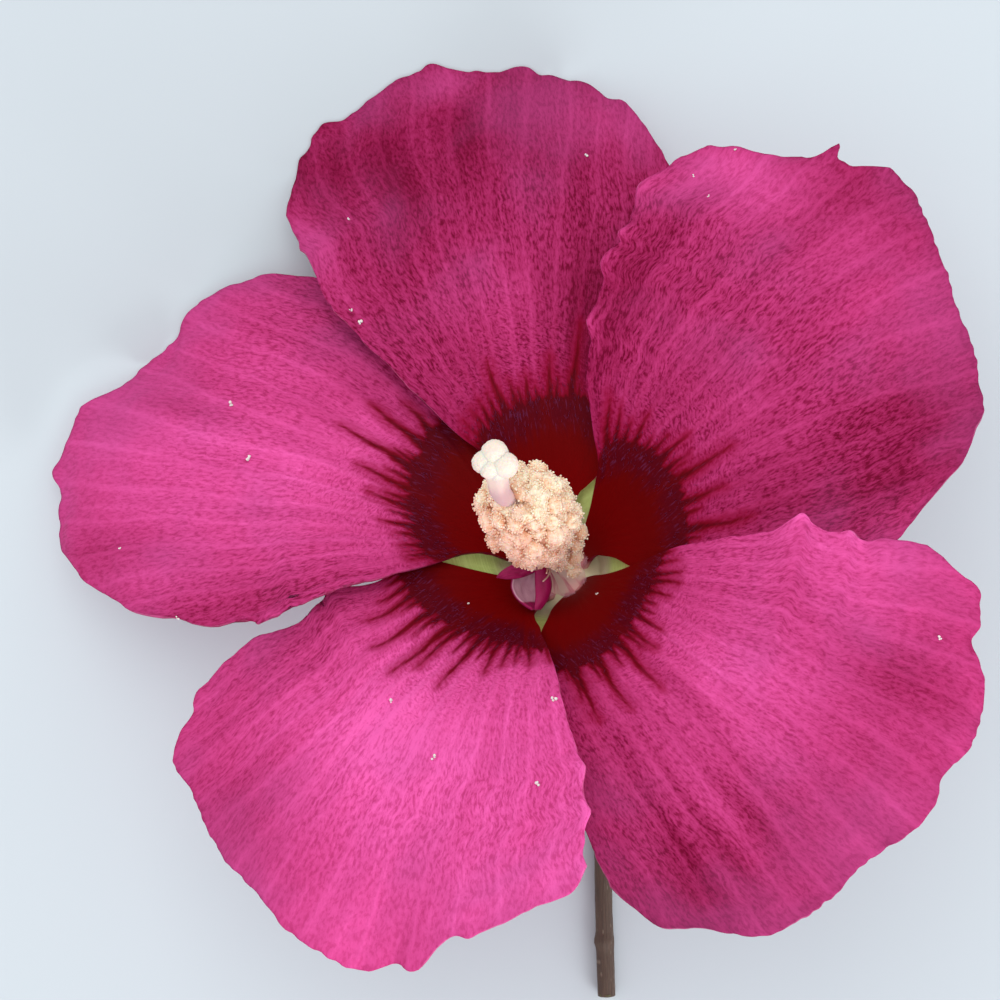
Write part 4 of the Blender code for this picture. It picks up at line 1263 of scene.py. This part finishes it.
def anther_body(ball, size, number, seeded):
    """A kidney, long across and with a shallow furrow along it, and the lumps on it."""
    long, deep, wide = (ball * KIDNEY).T
    furrow = np.exp(-((wide / 0.28) ** 2)) * np.clip(ball[:, 1], 0, 1)
    deep = deep - 0.22 * furrow - 0.18 * ball[:, 0] ** 2
    lumps = 0.2 * rough(ball + number, 0.5, number) + seeded.normal(0, 0.03, len(ball))
    return np.stack([long, deep, wide], -1) * size * 0.92 + unit(ball) * lumps[:, None], lumps


def head_core():
    """Smooth core that the anthers of the head sit on."""
    angles = turns(COLUMN_SIDES)
    rings = []
    for radius, height in HEAD_SHELL:
        uneven = 1 + 0.04 * rough(polar(3.0, angles, height), 1.0, 2)
        rings.append(polar(max(radius - 0.5, 1.45) * uneven, angles, height) + from_view(HEAD_ASIDE))
    return ringed_solid(rings, True)


def make_anthers():
    """Dense head of kidney-shaped anthers on a smaller core, each crusted with grains of pollen."""
    seeded = np.random.default_rng(17)
    ball, ball_faces = ball_mesh(3)
    grain, grain_faces = ball_mesh(1)
    parts, high, warm = [], [], []
    grain_parts, grain_high, grain_side_shade_and_tone = [], [], []
    for number, (centre, outward, size) in enumerate(anther_places()):
        spin = seeded.uniform(0, 2 * np.pi)
        side = unit(np.cross(outward, (math.cos(spin), math.sin(spin), 0.3)))
        third = np.cross(outward, side)
        turned = np.stack([side, outward, third])
        body, lumps = anther_body(ball, size, number, seeded)
        parts.append((centre + body @ turned, ball_faces))
        # Painted light and shade: cream on the lumps and the outward side, tan in the hollows.
        high.append(lumps + 0.3 * (ball[:, 1] - 0.5))
        # Painted shade on the lower side of the head, with some random change.
        shade = lower_side_shade(centre, seeded.normal(0, 0.16))
        warm.append(np.full(len(ball), shade))
        outer = np.flatnonzero(ball[:, 1] > -0.35)
        for k in seeded.choice(outer, GRAINS, replace=False):
            radius = seeded.uniform(*GRAIN_RADII)
            at = body[k] + unit(body[k]) * (radius * seeded.uniform(0.1, 1.3))
            grain_parts.append((centre + (grain * radius + at) @ turned, grain_faces))
            grain_high.append(np.full(len(grain), 0.12 + lumps[k]))
            grain_side_shade_and_tone.append(np.full(len(grain), shade + seeded.normal(0, 0.12)))
    core = head_core()
    points, faces = gathered([*parts, core])
    # The core is painted tan, as shade among the anthers.
    marks = {
        "high": np.concatenate([*high, np.full(len(core[0]), -0.2)]),
        "warm": np.concatenate([*warm, np.full(len(core[0]), 0.8)]),
    }
    finish = pollen_look()
    new_piece("anther_head", leaned(points), faces, [finish], ["anthers"], marks)
    points, faces = gathered(grain_parts)
    marks = {"high": np.concatenate(grain_high), "warm": np.concatenate(grain_side_shade_and_tone)}
    new_piece("pollen_grains", leaned(points), faces, [finish], marks=marks)


def make_filaments():
    """Fine threads from the column to the lower anthers."""
    seeded = np.random.default_rng(29)
    parts = []
    for _ in range(FILAMENTS):
        angle, foot = seeded.uniform(0, 360), seeded.uniform(7.5, 12.0)
        reach, rise = seeded.uniform(3.0, 4.8), seeded.uniform(2.5, 5.5)
        t = np.linspace(0, 1, 9)
        route = polar(1.2 + (reach - 1.2) * t**0.8, angle + seeded.uniform(-12, 12) * t, foot + rise * t**1.3)
        parts.append(ringed_solid(thread(route, 0.13 - 0.05 * t[:, None], 6), False))
    points, faces = gathered(parts)
    pink = cloudy_look("thread_pink", 1.0, (0.6, 0.32, 0.28), (0.85, 0.66, 0.55), 0.5, 0.05,
                       Subsurface_Weight=0.15, Subsurface_Scale=0.0008)
    new_piece("filaments", leaned(points), faces, [pink])


def make_pistil():
    """Style, bowed where it leaves the anthers, and five velvety stigma lobes on its end."""
    angles = turns(PISTIL_SIDES)
    heights = np.concatenate([np.linspace(-0.3, 26, 8), np.linspace(26.5, 38.4, 28)])
    bow, end = from_view(STYLE_BOW), from_view(STYLE_END)
    share = ease((heights - 25.5) / 4.5) * ease((38.5 - heights) / 7.5)
    rings = []
    for radius, height, bowed in zip(radius_at(heights, STYLE_OUTSIDE), heights, share):
        flute = 1 + 0.05 * np.cos(np.radians(angles * 5)) * ease((height - 30) / 4)
        aside = bow * bowed + end * ease((height - 30) / 7)
        rings.append(polar(radius * flute, angles, height) + aside)
    parts = [ringed_solid(rings, False)]
    ball, ball_faces = ball_mesh(5)
    for i, (*place, size) in enumerate(STIGMA_LOBES):
        down = sum(d * rough(ball + i * 3, fine, i) for d, fine in ((0.035, 0.08), (0.035, 0.2), (0.03, 0.6)))
        centre = (0, 0, STIGMA_HEIGHT) + end + from_view(place)
        parts.append((centre + ball * size * (1 + down)[:, None], ball_faces))
    points, faces = gathered(parts)
    # Height that sets the stigma's painted shade: the lower, the darker.
    rise = np.clip((points[:, 2] - 29) / 7.5, 0, 1)
    new_piece("velvet_pistil", leaned(points), faces, [stigma_look()], ["pistil"], {"rise": rise})


def petaloid_bowl():
    """The hollowed blade: low and pale on its left, rolled inwards on its right."""
    across, along = np.meshgrid(np.linspace(1, -1, 61), np.linspace(0, 1, 57))
    width = np.sin(np.pi * (0.1 + 0.87 * along)) ** 0.55
    left = across < 0
    curl = np.radians(np.where(left, 72, 215)) * np.abs(across)
    bend = np.where(left, 2.45, 1.05) * width
    wave = 0.1 * rough(together(across * 3, along * 4), 1.0, 3)
    bulge = np.where(left, -0.4, -0.4 + 0.8 * np.minimum(across / 0.4, 1)) * np.sin(np.pi * along)
    x = 1.45 + bulge + np.sign(across) * bend * np.sin(curl) + wave
    y = 3.0 - 5.3 * along + 0.25 * across * (1 - along)
    z = -1.4 * np.sin(np.pi * (0.15 + 0.75 * along)) + bend * (1 - np.cos(curl)) + 0.9 * along**3 + wave
    rim = ease((across - 0.05) / 0.4) * ease(along / 0.2) + ease((along - 0.8) / 0.15)
    return together(x, y, z), across, along, np.clip(rim, 0, 1)


def petaloid_flap():
    """The pointed flap folded over the bowl's upper left."""
    across, along = np.meshgrid(np.linspace(1, -1, 25), np.linspace(0, 1, 37))
    width = 0.8 * np.sin(np.pi * (0.16 + 0.82 * along)) ** 0.8
    wave = 0.12 * rough(together(across * 2, along * 5), 1.0, 6)
    x = 1.1 - 4.0 * along + wave
    y = 2.2 - 0.9 * along**1.6 + width * across
    z = 0.1 + 1.5 * np.sin(np.pi * (0.1 + 0.62 * along)) - 0.5 * (width * across) ** 2 + wave
    return together(x, y, z), across, along, np.ones_like(across)


def make_petaloid():
    """A stamen turned into a small curled petal: a pale bowl with a magenta side and flap."""
    parts, marks = [], []
    for sheet, thick in ((petaloid_bowl(), BOWL_THICK), (petaloid_flap(), FLAP_THICK)):
        own, across, along, rim = sheet
        middle = leaned(from_view(own) + PETALOID_AT)
        points, faces, _ = sheet_solid(middle, sheet_normals(middle), np.full_like(along, thick))
        parts.append((points, faces))
        for shade in (rim, 1.0):
            marks.append(together(across * 2.2, along * 5.5, shade).reshape(-1, 3))
    points, faces = gathered(parts)
    marks = {"sheet": np.concatenate(marks)}
    new_piece("curled_petaloid", points, faces, [petaloid_look()], ["petaloid_stamen"], marks)


# Studio
def make_camera():
    """The photograph's line of sight, with its distance and focal length."""
    to_view = tipped(VIEW - LEAN)
    aim = np.array([
        (SPRING_PIXEL[0] - FRAME_PIXELS / 2) / FOCAL_PIXELS * VIEW_DISTANCE,
        -(SPRING_PIXEL[1] - FRAME_PIXELS / 2) / FOCAL_PIXELS * VIEW_DISTANCE,
        0.0,
    ])
    at = np.array(SPRING_AT) + to_view.T @ (np.array((0, 0, VIEW_DISTANCE)) - aim)
    lens = bpy.data.cameras.new("view")
    lens.sensor_fit, lens.sensor_width, lens.sensor_height = "HORIZONTAL", 36.0, 36.0
    lens.lens = FOCAL_PIXELS / FRAME_PIXELS * lens.sensor_width
    lens.clip_start, lens.clip_end = 0.01, 10.0
    camera = bpy.data.objects.new("view", lens)
    camera.matrix_world = Matrix.Translation(Vector(at * MM)) @ Matrix(to_view.T.tolist()).to_4x4()
    bpy.context.scene.collection.objects.link(camera)
    bpy.context.scene.camera = camera


def make_studio():
    """Pale floor, pale room and plain soft lights."""
    bpy.context.scene.view_settings.view_transform = "Standard"
    world = bpy.data.worlds.new("pale_room")
    world.use_nodes = True
    room = world.node_tree.nodes["Background"]
    room.inputs["Color"].default_value = (0.95, 0.98, 1.0, 1)
    room.inputs["Strength"].default_value = 0.92
    bpy.context.scene.world = world
    for name, at, side, watts, colour in LIGHTS:
        lamp = bpy.data.lights.new(name, "AREA")
        lamp.size, lamp.energy, lamp.color = side, watts, colour
        holder = bpy.data.objects.new(name, lamp)
        holder.location = at
        holder.rotation_euler = (-Vector(at)).to_track_quat("-Z", "Y").to_euler()
        bpy.context.scene.collection.objects.link(holder)
    look = Look("pale_floor")
    cloud = look.noise(look.place(), 0.02, 2.0)
    pale = look.finish(Base_Color=look.mix(cloud, (0.535, 0.585, 0.625), (0.55, 0.6, 0.64)), Roughness=0.9)
    mesh = bpy.data.meshes.new("floor")
    mesh.from_pydata([(-3, -3, 0), (3, -3, 0), (3, 3, 0), (-3, 3, 0)], [], [(0, 1, 2, 3)])
    mesh.materials.append(pale)
    floor = bpy.data.objects.new("floor", mesh)
    bpy.context.scene.collection.objects.link(floor)


make_camera()
make_studio()
petal_sheets = make_petals()
make_crumbs(petal_sheets)
make_petal_hairs(petal_sheets)
sepal_rings = make_calyx()
make_epicalyx()
make_sepal_down(sepal_rings)
make_stem()
make_column()
make_anthers()
make_filaments()
make_pistil()
make_petaloid()
